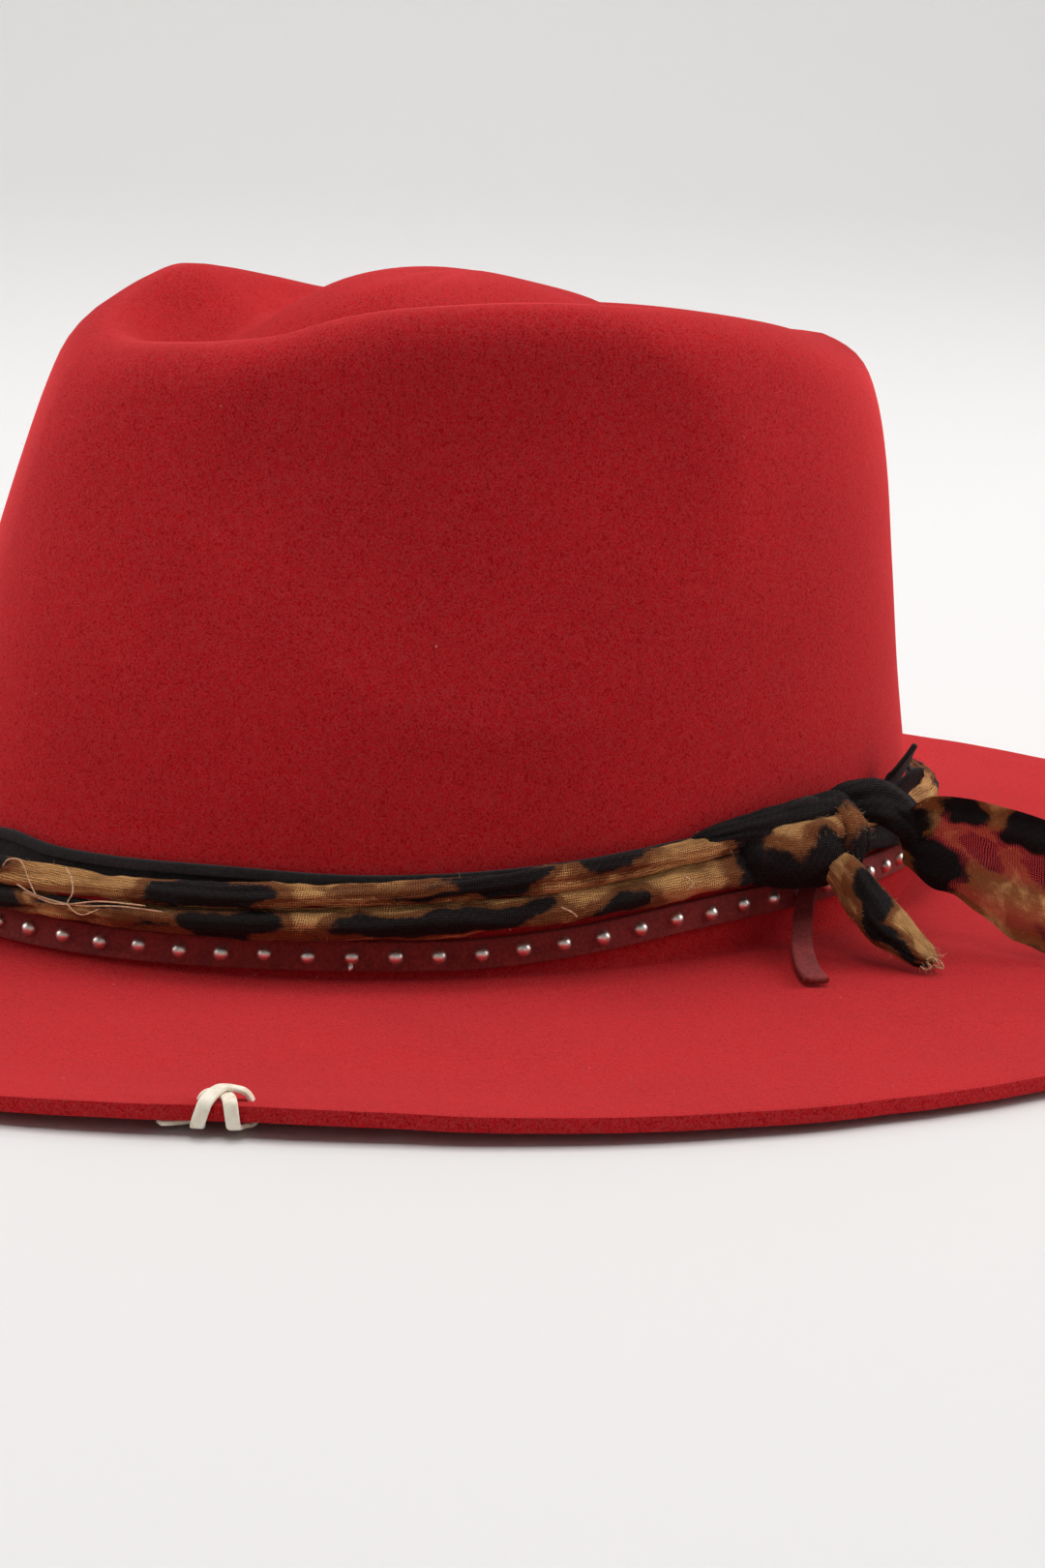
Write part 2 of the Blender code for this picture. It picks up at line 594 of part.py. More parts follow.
def brim_lace_stitch(finish, home):
    """The cream lace: up the left bore, over to the right leg, up the right bore and over to the left leg."""
    edge, outward, along, under = stitch_place()
    clear = GAP + STITCH_THICKNESS / 2
    over_felt = under + FELT + clear
    below = under - clear
    hole = STITCH_SPACING / 2
    low_edge = edge.z - clear
    # Each row: along the edge, outward from it, height, and the way the lace's broad side faces.
    rows = [
        dict(a=-10.2, o=-1.2, z=low_edge - 0.1, facing=(0, 0, -1)),
        dict(a=-7.6, o=-2.9, z=below + 0.1, facing=(0, 0, -1)),
        dict(a=-hole - 0.6, o=-STITCH_INSET + 0.3, z=below, facing=(0, 0, -1)),
        dict(a=-hole, o=-STITCH_INSET, z=under + 0.2, facing=(-1, 0, -0.3)),
        dict(a=-hole, o=-STITCH_INSET, z=under + FELT - 0.2, facing=(-1, 0, 0.3)),
        dict(a=-hole + 1.0, o=-STITCH_INSET, z=over_felt + 0.2, facing=(0, 0, 1)),
        dict(a=-hole + 2.6, o=-STITCH_INSET + 0.4, z=over_felt + 0.6, facing=(0, 0, 1)),
        dict(a=0.0, o=-STITCH_INSET + 1.6, z=over_felt + 0.5, facing=(0, 0, 1)),
        dict(a=1.0, o=-1.6, z=over_felt + 0.5, facing=(0, 0.5, 1)),
        dict(a=1.5, o=0.5, z=edge.z + FELT + 0.5, facing=(0, 1, 1)),
        dict(a=1.8, o=clear + 0.1, z=edge.z + FELT / 2, facing=(0, 1, 0)),
        dict(a=2.1, o=0.4, z=low_edge + 0.1, facing=(0, 1, -1)),
        dict(a=2.8, o=-2.4, z=below + 0.1, facing=(0, 0, -1)),
        dict(a=hole, o=-STITCH_INSET + 0.6, z=below, facing=(0, 0, -1)),
        dict(a=hole, o=-STITCH_INSET, z=under + 0.2, facing=(1, 0, -0.3)),
        dict(a=hole, o=-STITCH_INSET, z=under + FELT - 0.2, facing=(1, 0, 0.3)),
        dict(a=hole - 1.0, o=-STITCH_INSET, z=over_felt + 0.5, facing=(0, 0, 1)),
        dict(a=hole - 2.6, o=-STITCH_INSET + 0.2, z=over_felt + 1.9, facing=(0, 0, 1)),
        dict(a=-0.4, o=-STITCH_INSET + 1.2, z=over_felt + 2.2, facing=(0, 0, 1)),
        dict(a=-1.6, o=-2.2, z=over_felt + 1.2, facing=(0, 0.3, 1)),
        dict(a=-2.5, o=0.3, z=edge.z + FELT + 0.5, facing=(0, 1, 1)),
        dict(a=-3.1, o=clear + 0.1, z=edge.z + FELT / 2, facing=(0, 1, 0)),
        dict(a=-3.7, o=0.4, z=low_edge + 0.1, facing=(0, 1, -1)),
        dict(a=-3.6, o=-1.6, z=low_edge - 0.1, facing=(0, 0, -1)),
    ]

    def world(a, o, z):
        flat = along * a + outward * o
        return Vector((flat.x, flat.y, z))

    points = [world(row["a"], row["o"], row["z"]) + Vector((edge.x, edge.y, 0.0)) for row in rows]
    facing = [world(*row["facing"]) for row in rows]
    widths = [STITCH_WIDTH] * len(rows)
    ribbon("brim_lace_stitch", points, widths, facing, STITCH_THICKNESS, finish, home)


def clear_scene():
    """Removes the objects that the scene starts with."""
    for thing in list(bpy.data.objects):
        bpy.data.objects.remove(thing, do_unlink=True)


def main():
    """Builds every piece of the hat."""
    clear_scene()
    home = bpy.data.collections.new("rancher_hat")
    bpy.context.scene.collection.children.link(home)
    helpers = bpy.data.collections.new("cutters")
    bpy.context.scene.collection.children.link(helpers)

    red_felt = material("red_felt", (0.42, 0.018, 0.02), 0.95)
    black_suede = material("black_suede", (0.02, 0.018, 0.018), 0.9)
    leopard_gauze = material("leopard_gauze", (0.38, 0.17, 0.045), 0.9)
    red_suede = material("red_suede", (0.3, 0.03, 0.03), 0.85)
    cream_leather = material("cream_leather", (0.8, 0.7, 0.52), 0.6)

    body = felt_body(red_felt, home)
    join_or_cut(body, brim_bores(helpers), "DIFFERENCE")
    flat_band("black_suede_band", LACE_ROWS, None, GAP, LACE_THICKNESS, FELT_SEGMENTS, black_suede, home)
    scarf_band(leopard_gauze, home)
    scarf_knot(leopard_gauze, home)
    scarf_short_tail(leopard_gauze, home)
    scarf_wide_tail(leopard_gauze, home)
    studded_strap(red_suede, home, helpers)
    cut_ends(black_suede, red_suede, home)
    brim_lace_stitch(cream_leather, home)


main()
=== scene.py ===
"""Looks of a red felt rancher hat with a leopard gauze scarf, a studded strap and laces.

Sizes are in millimetres, and meshes in metres, +Z up. The hat stands on its brim, and the wearer looks along
-Y. A turn round the crown is counted in degrees from the front (0) over the wearer's left (90) to the back
(180). An out is counted from the crown's outer side, and a height from the table.
"""

import json
import logging
import math
import random
from dataclasses import dataclass, field
from enum import Enum
from typing import Callable, ClassVar, Sequence

import bmesh
import bpy
import numpy as np
from mathutils import Matrix, Vector, noise

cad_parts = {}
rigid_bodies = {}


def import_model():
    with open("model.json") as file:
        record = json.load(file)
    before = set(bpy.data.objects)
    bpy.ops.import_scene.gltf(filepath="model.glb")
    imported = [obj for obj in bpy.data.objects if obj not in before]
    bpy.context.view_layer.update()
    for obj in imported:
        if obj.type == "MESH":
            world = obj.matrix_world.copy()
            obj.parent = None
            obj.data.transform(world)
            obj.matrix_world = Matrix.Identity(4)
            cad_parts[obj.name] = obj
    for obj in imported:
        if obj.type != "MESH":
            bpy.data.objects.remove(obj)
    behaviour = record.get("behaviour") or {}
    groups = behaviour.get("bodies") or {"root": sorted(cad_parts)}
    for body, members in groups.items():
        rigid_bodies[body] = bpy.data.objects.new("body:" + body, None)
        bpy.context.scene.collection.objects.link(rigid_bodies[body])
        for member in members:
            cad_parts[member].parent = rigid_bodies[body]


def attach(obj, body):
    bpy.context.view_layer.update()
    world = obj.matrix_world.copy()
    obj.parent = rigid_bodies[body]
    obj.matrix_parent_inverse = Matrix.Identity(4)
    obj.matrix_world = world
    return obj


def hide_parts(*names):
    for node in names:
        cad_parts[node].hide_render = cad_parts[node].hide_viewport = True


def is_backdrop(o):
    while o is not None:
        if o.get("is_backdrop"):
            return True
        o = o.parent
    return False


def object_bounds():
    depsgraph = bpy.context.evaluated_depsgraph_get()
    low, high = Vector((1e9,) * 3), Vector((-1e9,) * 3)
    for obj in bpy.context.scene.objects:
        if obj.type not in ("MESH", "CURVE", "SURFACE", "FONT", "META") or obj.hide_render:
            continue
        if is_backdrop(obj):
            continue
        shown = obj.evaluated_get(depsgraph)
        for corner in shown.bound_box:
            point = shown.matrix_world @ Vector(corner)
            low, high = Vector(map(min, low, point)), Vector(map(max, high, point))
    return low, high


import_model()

MM = 0.001
ROOT = "root"
CAD_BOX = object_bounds()
SEED = 11
log = logging.getLogger("rancher_hat")

# Points closer than this many metres are merged, and a strand's usual way round the crown in mm.
WELD = 1e-3 * MM
STRAND_LENGTH = 640.0
UP = (0.0, 0.0, 1.0)
# A slanting direction, along which no two faces of a spun shape are level.
SLANT = Vector((1.0, 0.61, 0.37))

Array = np.ndarray
Rows = Sequence[tuple[float, ...]]
# A strand's section: how far its middle is off the felt, its height, its half depth and half height.
Section = tuple[Array, Array, Array, Array]
# Anything that is worked out from two measures of a surface.
Measure = Callable[[Array, Array], Array]


class Slot(Enum):
    """The record's material slots."""

    FELT = "red_felt"
    BLACK_SUEDE = "black_suede"
    GAUZE = "leopard_gauze"
    RED_SUEDE = "red_suede"
    STUD = "stud_metal"
    CREAM = "cream_leather"


class Node(Enum):
    """The solids of the frame that a finer piece stands for."""

    FELT = "felt_body"
    LACE = "black_suede_band"
    LACE_END = "black_lace_end"
    SCARF = "scarf_band"
    KNOT = "scarf_knot"
    SHORT_TAIL = "scarf_short_tail"
    WIDE_TAIL = "scarf_wide_tail"
    STRAP = "studded_strap"
    STRAP_END = "strap_lace_end"
    STITCH = "brim_lace_stitch"


# Curves and the hat's form


def hermite(t: Array, width: Array, ends: tuple[Array, Array], slopes: tuple[Array, Array]) -> Array:
    """Values on the smooth cubic between pairs of knots.

    Args:
        t: shares of the way from one knot to the next.
        width: how far apart the knots are.
        ends: the values at the knots.
        slopes: the slopes at the knots.

    Returns:
        One value for each share.
    """
    return (
        ends[0] * (2 * t**3 - 3 * t**2 + 1)
        + ends[1] * (3 * t**2 - 2 * t**3)
        + width * slopes[0] * (t**3 - 2 * t**2 + t)
        + width * slopes[1] * (t**3 - t**2)
    )


@dataclass(frozen=True)
class Curve:
    """A smooth curve through values at rising keys."""

    keys: tuple[float, ...]
    values: tuple[float, ...]

    def at(self, key: Array | float) -> Array:
        """Reads the curve.

        Args:
            key: one key or an array of them.

        Returns:
            The values, held level past either end.
        """
        keys, values = np.array(self.keys, float), np.array(self.values, float)
        slopes = np.gradient(values, keys)
        slopes[1:-1] = (values[2:] - values[:-2]) / (keys[2:] - keys[:-2])
        key = np.clip(key, keys[0], keys[-1])
        low = np.clip(np.searchsorted(keys, key, side="right") - 1, 0, len(keys) - 2)
        width = keys[low + 1] - keys[low]
        t = (key - keys[low]) / width
        return hermite(t, width, (values[low], values[low + 1]), (slopes[low], slopes[low + 1]))


def signed(turn: Array | float) -> Array:
    """Turns in degrees brought to -180..180."""
    return (np.asarray(turn, float) + 180.0) % 360.0 - 180.0


def unit(vectors: Array) -> Array:
    """Vectors brought to length one along the last axis."""
    return vectors / np.maximum(np.linalg.norm(vectors, axis=-1, keepdims=True), 1e-12)


def lumps(points: Array, size: float, seed: float = 0.0) -> Array:
    """Soft random heights between about -1 and 1.

    Args:
        points: places in mm, with x, y and z on the last axis.
        size: how far apart the lumps are, in mm.
        seed: shifts the pattern.

    Returns:
        One height for each place.
    """
    flat = points.reshape(-1, 3) / size + seed
    return np.array([noise.noise(Vector(place)) for place in flat]).reshape(points.shape[:-1])


# Shares of the wall's height, and of the way from the crest to the raised centre, that have knots.
WALL_SHARES = (0.0, 0.035, 0.1, 0.2, 0.4, 0.6, 0.78, 0.9, 0.965, 1.0)
TOP_SHARES = (0.0, 0.05, 0.14, 0.27, 0.39, 0.52, 0.66, 0.82, 1.0)


@dataclass(frozen=True)
class HatForm:
    """The hat's blocked form, as the frame has it: the felt's inner side and what lies beside it."""

    felt: float = 2.5
    foot: float = 2.0
    centre: tuple[float, float, float] = (0.0, 11.0, 119.8)
    pinch_spread: float = 25.0
    # By share of the brim's width, from the crown's foot to the edge.
    rise: Curve = Curve((0.0, 0.045, 0.12, 0.24, 0.58, 1.0), (2.0, 0.9, 0.2, 0.0, 0.0, 0.0))
    curl: Curve = Curve((0.24, 0.58, 0.78, 0.93, 1.0), (0.0, 0.0, 0.28, 0.78, 1.0))
    # By the turn on either side.
    width: Curve = Curve((0, 45, 62, 76, 92, 130, 180), (89.0, 86.3, 84.6, 88.6, 90.8, 91.4, 88.0))
    lift: Curve = Curve((0, 45, 62, 76, 92, 130, 180), (1.6, 1.9, 2.4, 1.8, 1.3, 1.1, 1.4))
    # By share of the wall's height: how far it is from the crown's middle ahead, aside and behind.
    wall_front: Curve = Curve(WALL_SHARES, (102.0, 99.6, 97.2, 93.8, 87.3, 81.3, 76.0, 71.6, 68.0, 62.5))
    wall_side: Curve = Curve(WALL_SHARES, (85.0, 83.6, 82.4, 80.8, 77.1, 73.1, 69.3, 66.0, 62.8, 57.0))
    wall_back: Curve = Curve(WALL_SHARES, (103.0, 102.0, 101.5, 100.6, 97.9, 96.2, 94.5, 92.0, 88.6, 82.0))
    wall_middle: Curve = Curve(WALL_SHARES, (0.0, 0.3, 1.0, 2.0, 4.0, 6.0, 8.0, 9.0, 10.0, 10.0))
    pinch_turn: Curve = Curve((0.05, 0.35, 0.6, 0.8, 1.0), (72.0, 63.0, 53.0, 46.0, 42.0))
    pinch_depth: Curve = Curve((0.05, 0.35, 0.6, 0.8, 1.0), (0.0, 3.0, 6.0, 8.0, 6.5))
    # By the turn, right side negative: the crest's height.
    rim: Curve = Curve(
        (-180, -140, -105, -84, -70, -57, -43, -25, 0, 20, 38, 50, 64, 84, 104, 120, 141, 180),
        (
            107.5, 109.5, 110.0, 111.8, 115.0, 117.4, 118.4, 114.4, 108.0,
            108.2, 110.4, 114.0, 116.8, 118.2, 116.8, 114.4, 110.4, 107.5,
        ),
    )
    # By share of the way from the crest to the raised centre.
    dent_front: Curve = Curve(TOP_SHARES, (0.0, -1.2, -6.5, -10.7, -8.0, -2.2, 1.2, 1.6, 0.0))
    dent_side: Curve = Curve(TOP_SHARES, (0.0, -1.0, -5.0, -9.6, -10.3, -8.0, -4.0, -0.9, 0.0))
    dent_back: Curve = Curve(TOP_SHARES, (0.0, -0.8, -3.6, -7.4, -7.4, -4.6, -1.4, -0.2, 0.0))

    def wall(self, turn: Array | float, share: Array | float) -> Array:
        """Points of the crown wall's inner side.

        Args:
            turn: degrees round the crown.
            share: share of the wall's height.

        Returns:
            Points in mm, on the last axis.
        """
        turn, share = np.broadcast_arrays(np.asarray(turn, float), np.asarray(share, float))
        angle = np.radians(turn)
        middle = self.wall_middle.at(share)
        ahead = np.cos(angle) > 0
        reach = np.where(ahead, self.wall_front.at(share) + middle, self.wall_back.at(share) - middle)
        x = self.wall_side.at(share) * np.sin(angle)
        y = middle - reach * np.cos(angle)
        off = np.abs(signed(turn)) - self.pinch_turn.at(share)
        depth = self.pinch_depth.at(share) * np.exp(-((off / self.pinch_spread) ** 2))
        length = np.hypot(x, y - middle)
        z = self.foot + (self.rim.at(signed(turn)) - self.foot) * share
        return np.stack([x - x / length * depth, y - (y - middle) / length * depth, z], axis=-1)

    def top(self, turn: Array | float, share: Array | float) -> Array:
        """Points of the dented top's inner side.

        Args:
            turn: degrees round the crown.
            share: share of the way from the crest (0) to the raised centre (1).

        Returns:
            Points in mm, on the last axis.
        """
        turn, share = np.broadcast_arrays(np.asarray(turn, float), np.asarray(share, float))
        crest = self.wall(turn, np.ones_like(share))
        lengthwise = np.cos(np.radians(turn)) ** 2
        ends = np.where(np.cos(np.radians(turn)) > 0, self.dent_front.at(share), self.dent_back.at(share))
        points = crest + (np.array(self.centre) - crest) * share[..., None]
        points[..., 2] += lengthwise * ends + (1 - lengthwise) * self.dent_side.at(share)
        return points

    def brim(self, turn: Array | float, share: Array | float) -> Array:
        """Points of the brim's underside.

        Args:
            turn: degrees round the crown.
            share: share of the way from the crown's foot (0) to the edge (1).

        Returns:
            Points in mm, on the last axis.
        """
        turn, share = np.broadcast_arrays(np.asarray(turn, float), np.asarray(share, float))
        ahead = self.wall(turn + 0.5, 0.0) - self.wall(turn - 0.5, 0.0)
        outward = unit(np.stack([ahead[..., 1], -ahead[..., 0]], axis=-1))
        side = np.abs(signed(turn))
        flat = self.wall(turn, 0.0)[..., :2] + outward * (self.width.at(side) * share)[..., None]
        height = self.rise.at(share) + self.lift.at(side) * self.curl.at(share)
        return np.concatenate([flat, height[..., None]], axis=-1)

    def beside(self, turn: Array | float, height: Array | float, out: Array | float) -> Array:
        """Points beside the crown's outer side.

        Args:
            turn: degrees round the crown.
            height: mm above the table.
            out: mm off the felt, level.

        Returns:
            Points in mm, on the last axis.
        """
        turn, height, out = np.broadcast_arrays(*(np.asarray(a, float) for a in (turn, height, out)))
        share = np.maximum((height - self.foot) / (self.rim.at(signed(turn)) - self.foot), 0.0)
        here = self.wall(turn, share)
        ahead = self.wall(turn + 0.5, share) - self.wall(turn - 0.5, share)
        outward = unit(np.cross(ahead, self.wall(turn, share + 0.02) - here))[..., :2]
        level_reach = np.linalg.norm(outward, axis=-1, keepdims=True)
        flat = here[..., :2] + outward / level_reach * (self.felt / level_reach + out[..., None])
        return np.concatenate([flat, height[..., None]], axis=-1)


FORM = HatForm()


# Meshes


@dataclass
class Skin:
    """A grid that is bent to a shape. u runs along or round it, and v across it, both from 0 to 1."""

    columns: int
    rows: int
    place: Measure
    size: tuple[float, float]
    paints: dict[str, Measure] = field(default_factory=dict)

    def build(self) -> bmesh.types.BMesh:
        """Bends the grid and welds where its edges meet.

        Returns:
            A bmesh in metres with a UV map in metres and a float layer for each paint, under its name.
        """
        bm = bmesh.new()
        uv_layer = bm.loops.layers.uv.new("UVMap")
        bmesh.ops.create_grid(bm, x_segments=self.columns, y_segments=self.rows, size=0.5, calc_uvs=True)
        flat = np.array([vert.co[:] for vert in bm.verts])
        u, v = flat[:, 0] + 0.5, flat[:, 1] + 0.5
        places = self.place(u, v) * MM
        for vert, place in zip(bm.verts, places.tolist()):
            vert.co = place
        for name, paint in self.paints.items():
            layer = bm.verts.layers.float.new(name)
            for vert, value in zip(bm.verts, paint(u, v).tolist()):
                vert[layer] = value
        along, across = self.size[0] * MM, self.size[1] * MM
        for face in bm.faces:
            for loop in face.loops:
                uv = loop[uv_layer].uv
                loop[uv_layer].uv = (uv.x * along, uv.y * across)
        bmesh.ops.remove_doubles(bm, verts=bm.verts, dist=WELD)
        bmesh.ops.recalc_face_normals(bm, faces=bm.faces)
        return bm


def lathe(profile: Sequence[tuple[float, float]], steps: int, weld: float) -> bmesh.types.BMesh:
    """Spins a profile once round Z.

    Spin gives its faces in an order that changes from run to run, so they are sorted.

    Args:
        profile: the reach and height of its points, in metres.
        steps: how many steps make the turn.
        weld: points that lie closer than this are merged.

    Returns:
        The spun mesh, facing outward.
    """
    bm = bmesh.new()
    verts = [bm.verts.new((reach, 0.0, up)) for reach, up in profile]
    edges = [bm.edges.new(pair) for pair in zip(verts, verts[1:])]
    bmesh.ops.spin(
        bm, geom=verts + edges, cent=(0.0, 0.0, 0.0), axis=UP, angle=math.tau, steps=steps, use_merge=True
    )
    bmesh.ops.remove_doubles(bm, verts=bm.verts, dist=weld)
    bmesh.ops.recalc_face_normals(bm, faces=bm.faces)
    bm.faces.sort(key=lambda face: face.calc_center_median().dot(SLANT))
    return bm


def as_mesh(name: str, bm: bmesh.types.BMesh) -> bpy.types.Mesh:
    """Turns a bmesh into a named mesh.

    Args:
        name: the mesh's name.
        bm: its shape, which is freed.

    Returns:
        The new mesh.
    """
    mesh = bpy.data.meshes.new(name)
    bm.to_mesh(mesh)
    bm.free()
    return mesh


def place_object(name: str, data: bpy.types.ID) -> bpy.types.Object:
    """Puts a mesh, light or camera into the scene.

    Args:
        name: the object's name.
        data: what it shows.

    Returns:
        The new object.
    """
    thing = bpy.data.objects.new(name, data)
    bpy.context.scene.collection.objects.link(thing)
    return thing


def add_piece(
    name: str,
    bm: bmesh.types.BMesh,
    finish: bpy.types.Material,
    slot: Slot,
    replaces: Sequence[Node] = (),
    sharp: float = 60.0,
) -> bpy.types.Object:
    """Puts a bmesh in metres into the scene as a piece that rides on the hat.

    Args:
        name: the piece's name.
        bm: its mesh, which is freed.
        finish: its material.
        slot: the record's slot of that finish; not used.
        replaces: solids of the frame that it stands for.
        sharp: edges that bend more than this many degrees stay sharp.

    Returns:
        The new object.
    """
    mesh = as_mesh(name, bm)
    mesh.materials.append(finish)
    mesh.shade_smooth()
    mesh.set_sharp_from_angle(angle=math.radians(sharp))
    piece = place_object(name, mesh)
    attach(piece, ROOT)
    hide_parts(*(node.value for node in replaces))
    log.info("%s: %d faces", name, len(mesh.polygons))
    return piece


# Finishes

Colour = tuple[float, float, float]


def operator(operation: str, reflected: bool = False) -> Callable[["Wire", "Wire | float"], "Wire"]:
    """Makes an operator of Wire that adds one Math node.

    Args:
        operation: the Math node's operation.
        reflected: whether the wire stands second in the expression.

    Returns:
        The operator.
    """

    def combine(wire: "Wire", other: "Wire | float") -> "Wire":
        """Joins a wire and another value by the operation."""
        return wire.graph.math(operation, *((other, wire) if reflected else (wire, other)))

    return combine


class Wire:
    """One shader socket in a sum: an expression on wires adds its Math nodes."""

    def __init__(self, graph: "Graph", socket: bpy.types.NodeSocket) -> None:
        """Wraps a socket of a graph."""
        self.graph = graph
        self.socket = socket

    __add__ = operator("ADD")
    __radd__ = operator("ADD", reflected=True)
    __sub__ = operator("SUBTRACT")
    __rsub__ = operator("SUBTRACT", reflected=True)
    __mul__ = operator("MULTIPLY")
    __rmul__ = operator("MULTIPLY", reflected=True)
    __pow__ = operator("POWER")
    __rpow__ = operator("POWER", reflected=True)


Value = Wire | float | Colour


class Graph:
    """The nodes of one material."""

    def __init__(self, name: str) -> None:
        """Makes a material with its Principled shader.

        Args:
            name: the material's name.
        """
        self.material = bpy.data.materials.new(name)
        self.material.use_nodes = True
        self.tree = self.material.node_tree
        self.shader = self.tree.nodes["Principled BSDF"]

    def feed(self, socket: bpy.types.NodeSocket, value: Value) -> None:
        """Links or sets one input socket.

        Args:
            socket: the input.
            value: a wire, a number or a colour.
        """
        if isinstance(value, Wire):
            self.tree.links.new(value.socket, socket)
        elif isinstance(value, tuple) and socket.type == "RGBA":
            socket.default_value = (*value, 1.0)
        else:
            socket.default_value = value

    def add(
        self,
        kind: str,
        settings: dict[str, object],
        inputs: dict[str | int, Value],
        out: str | int = 0,
    ) -> Wire:
        """Adds any node.

        Args:
            kind: the node's type.
            settings: its properties, which are set first.
            inputs: values or wires for its sockets, by name or number.
            out: the output to return.

        Returns:
            That output.
        """
        node = self.tree.nodes.new(kind)
        for key, value in settings.items():
            setattr(node, key, value)
        for key, value in inputs.items():
            self.feed(node.inputs[key], value)
        return Wire(self, node.outputs[out])

    def math(self, operation: str, first: Value, second: Value = 0.0) -> Wire:
        """One Math node."""
        return self.add("ShaderNodeMath", {"operation": operation}, {0: first, 1: second})

    def mix(self, factor: Value, first: Value, second: Value, blend: str = "MIX") -> Wire:
        """Mixes two colours by a factor."""
        settings = {"data_type": "RGBA", "blend_type": blend}
        return self.add("ShaderNodeMix", settings, {0: factor, 6: first, 7: second}, 2)

    def step(self, value: Value, low: float, high: float) -> Wire:
        """A soft step from 0 at low to 1 at high."""
        inputs = {"Value": value, "From Min": low, "From Max": high}
        return self.add("ShaderNodeMapRange", {"interpolation_type": "SMOOTHSTEP"}, inputs)

    def coordinates(self, kind: str) -> Wire:
        """The coordinates of the piece: Object or UV."""
        return self.add("ShaderNodeTexCoord", {}, {}, kind)

    def axis(self, place: Wire, number: int) -> Wire:
        """One axis of coordinates: 0 for x, 1 for y."""
        return self.add("ShaderNodeSeparateXYZ", {}, {0: place}, number)

    def attribute(self, name: str) -> Wire:
        """A float layer of the mesh."""
        return self.add("ShaderNodeAttribute", {"attribute_name": name}, {}, "Fac")

    def stretch(self, place: Wire, scale: Colour) -> Wire:
        """Coordinates multiplied axis by axis."""
        return self.add("ShaderNodeMapping", {}, {"Vector": place, "Scale": scale})

    def noise(self, place: Wire, scale: float, detail: float = 2.0, rough: float = 0.55) -> Wire:
        """Soft noise from 0 to 1, with so many lumps to the metre."""
        inputs = {"Vector": place, "Scale": scale, "Detail": detail, "Roughness": rough}
        return self.add("ShaderNodeTexNoise", {}, inputs)

    def cells(self, place: Wire, scale: float) -> Wire:
        """Voronoi cells: the distance to each one's middle."""
        return self.add("ShaderNodeTexVoronoi", {}, {"Vector": place, "Scale": scale}, "Distance")

    def ridges(self, value: Wire, sharp: float) -> Wire:
        """Thin bright lines where a noise crosses its middle."""
        return (1.0 - self.math("ABSOLUTE", value - 0.5) * 2.0) ** sharp

    def bump(self, height: Wire, depth: float) -> Wire:
        """Relief of a depth in mm."""
        inputs = {"Height": height, "Distance": depth * MM, "Strength": 1.0}
        return self.add("ShaderNodeBump", {}, inputs, "Normal")

    def surface(self, sockets: dict[str, Value]) -> bpy.types.Material:
        """Feeds the shader's sockets.

        Args:
            sockets: values or wires by the shader's own socket names.

        Returns:
            The material.
        """
        for key, value in sockets.items():
            self.feed(self.shader.inputs[key], value)
        return self.material


@dataclass(frozen=True)
class FeltFinish:
    """Brushed wool felt with a short nap, faint patches and a few pale specks of lint."""

    deep: Colour = (0.310, 0.0038, 0.0068)
    light: Colour = (0.550, 0.0090, 0.0140)
    lint: Colour = (0.80, 0.40, 0.38)
    patch_scale: float = 30.0
    tuft_scale: float = 620.0
    fibre_scale: float = 1700.0
    grain_scale: float = 3600.0
    lint_scale: float = 95.0
    relief: float = 0.075
    sheen: Colour = (1.0, 0.10, 0.11)

    def material(self) -> bpy.types.Material:
        """Builds the finish.

        Returns:
            Its material.
        """
        graph = Graph("red_felt_nap")
        place = graph.coordinates("Object")
        patch = graph.noise(place, self.patch_scale, 3.0)
        tuft = graph.noise(place, self.tuft_scale, 2.0)
        fibre = graph.noise(place, self.fibre_scale, 3.0, 0.6)
        hairs = graph.ridges(graph.noise(place, self.fibre_scale, 2.0), 14.0)
        grain = graph.noise(place, self.grain_scale, 2.0)
        shade = patch * 0.25 + tuft * 0.28 + fibre * 0.62 + grain * 0.30 - 0.22
        colour = graph.mix(graph.step(shade, 0.2, 0.8), self.deep, self.light)
        colour = graph.mix(hairs * 0.10, colour, self.lint)
        speck = 1.0 - graph.step(graph.cells(place, self.lint_scale), 0.012, 0.032)
        colour = graph.mix(speck * graph.step(patch, 0.45, 0.6) * 0.6, colour, self.lint)
        height = tuft * 0.5 + fibre * 0.6 + grain * 0.4 + hairs * 0.3
        return graph.surface(
            {
                "Base Color": colour,
                "Roughness": 0.92,
                "Normal": graph.bump(height, self.relief),
                "Sheen Weight": 1.0,
                "Sheen Roughness": 0.40,
                "Sheen Tint": self.sheen,
                "Specular IOR Level": 0.06,
            }
        )


@dataclass(frozen=True)
class SuedeFinish:
    """Split leather with a rough face and a nap that takes the light in patches."""

    name: str
    dark: Colour
    light: Colour
    sheen: Colour
    grain_scale: float = 1500.0
    relief: float = 0.12

    def material(self) -> bpy.types.Material:
        """Builds the finish.

        Returns:
            Its material.
        """
        graph = Graph(self.name)
        place = graph.coordinates("Object")
        patch = graph.noise(place, 160.0, 3.0)
        grain = graph.noise(place, self.grain_scale, 3.0, 0.65)
        pores = graph.cells(place, self.grain_scale * 0.9)
        shade = patch * 0.5 + grain * 0.7 - 0.1
        colour = graph.mix(graph.step(shade, 0.25, 0.85), self.dark, self.light)
        return graph.surface(
            {
                "Base Color": colour,
                "Roughness": 0.75 + patch * 0.2,
                "Normal": graph.bump(grain * 0.7 + pores * 0.4, self.relief),
                "Sheen Weight": 0.08,
                "Sheen Roughness": 0.5,
                "Sheen Tint": self.sheen,
                "Specular IOR Level": 0.3,
            }
        )


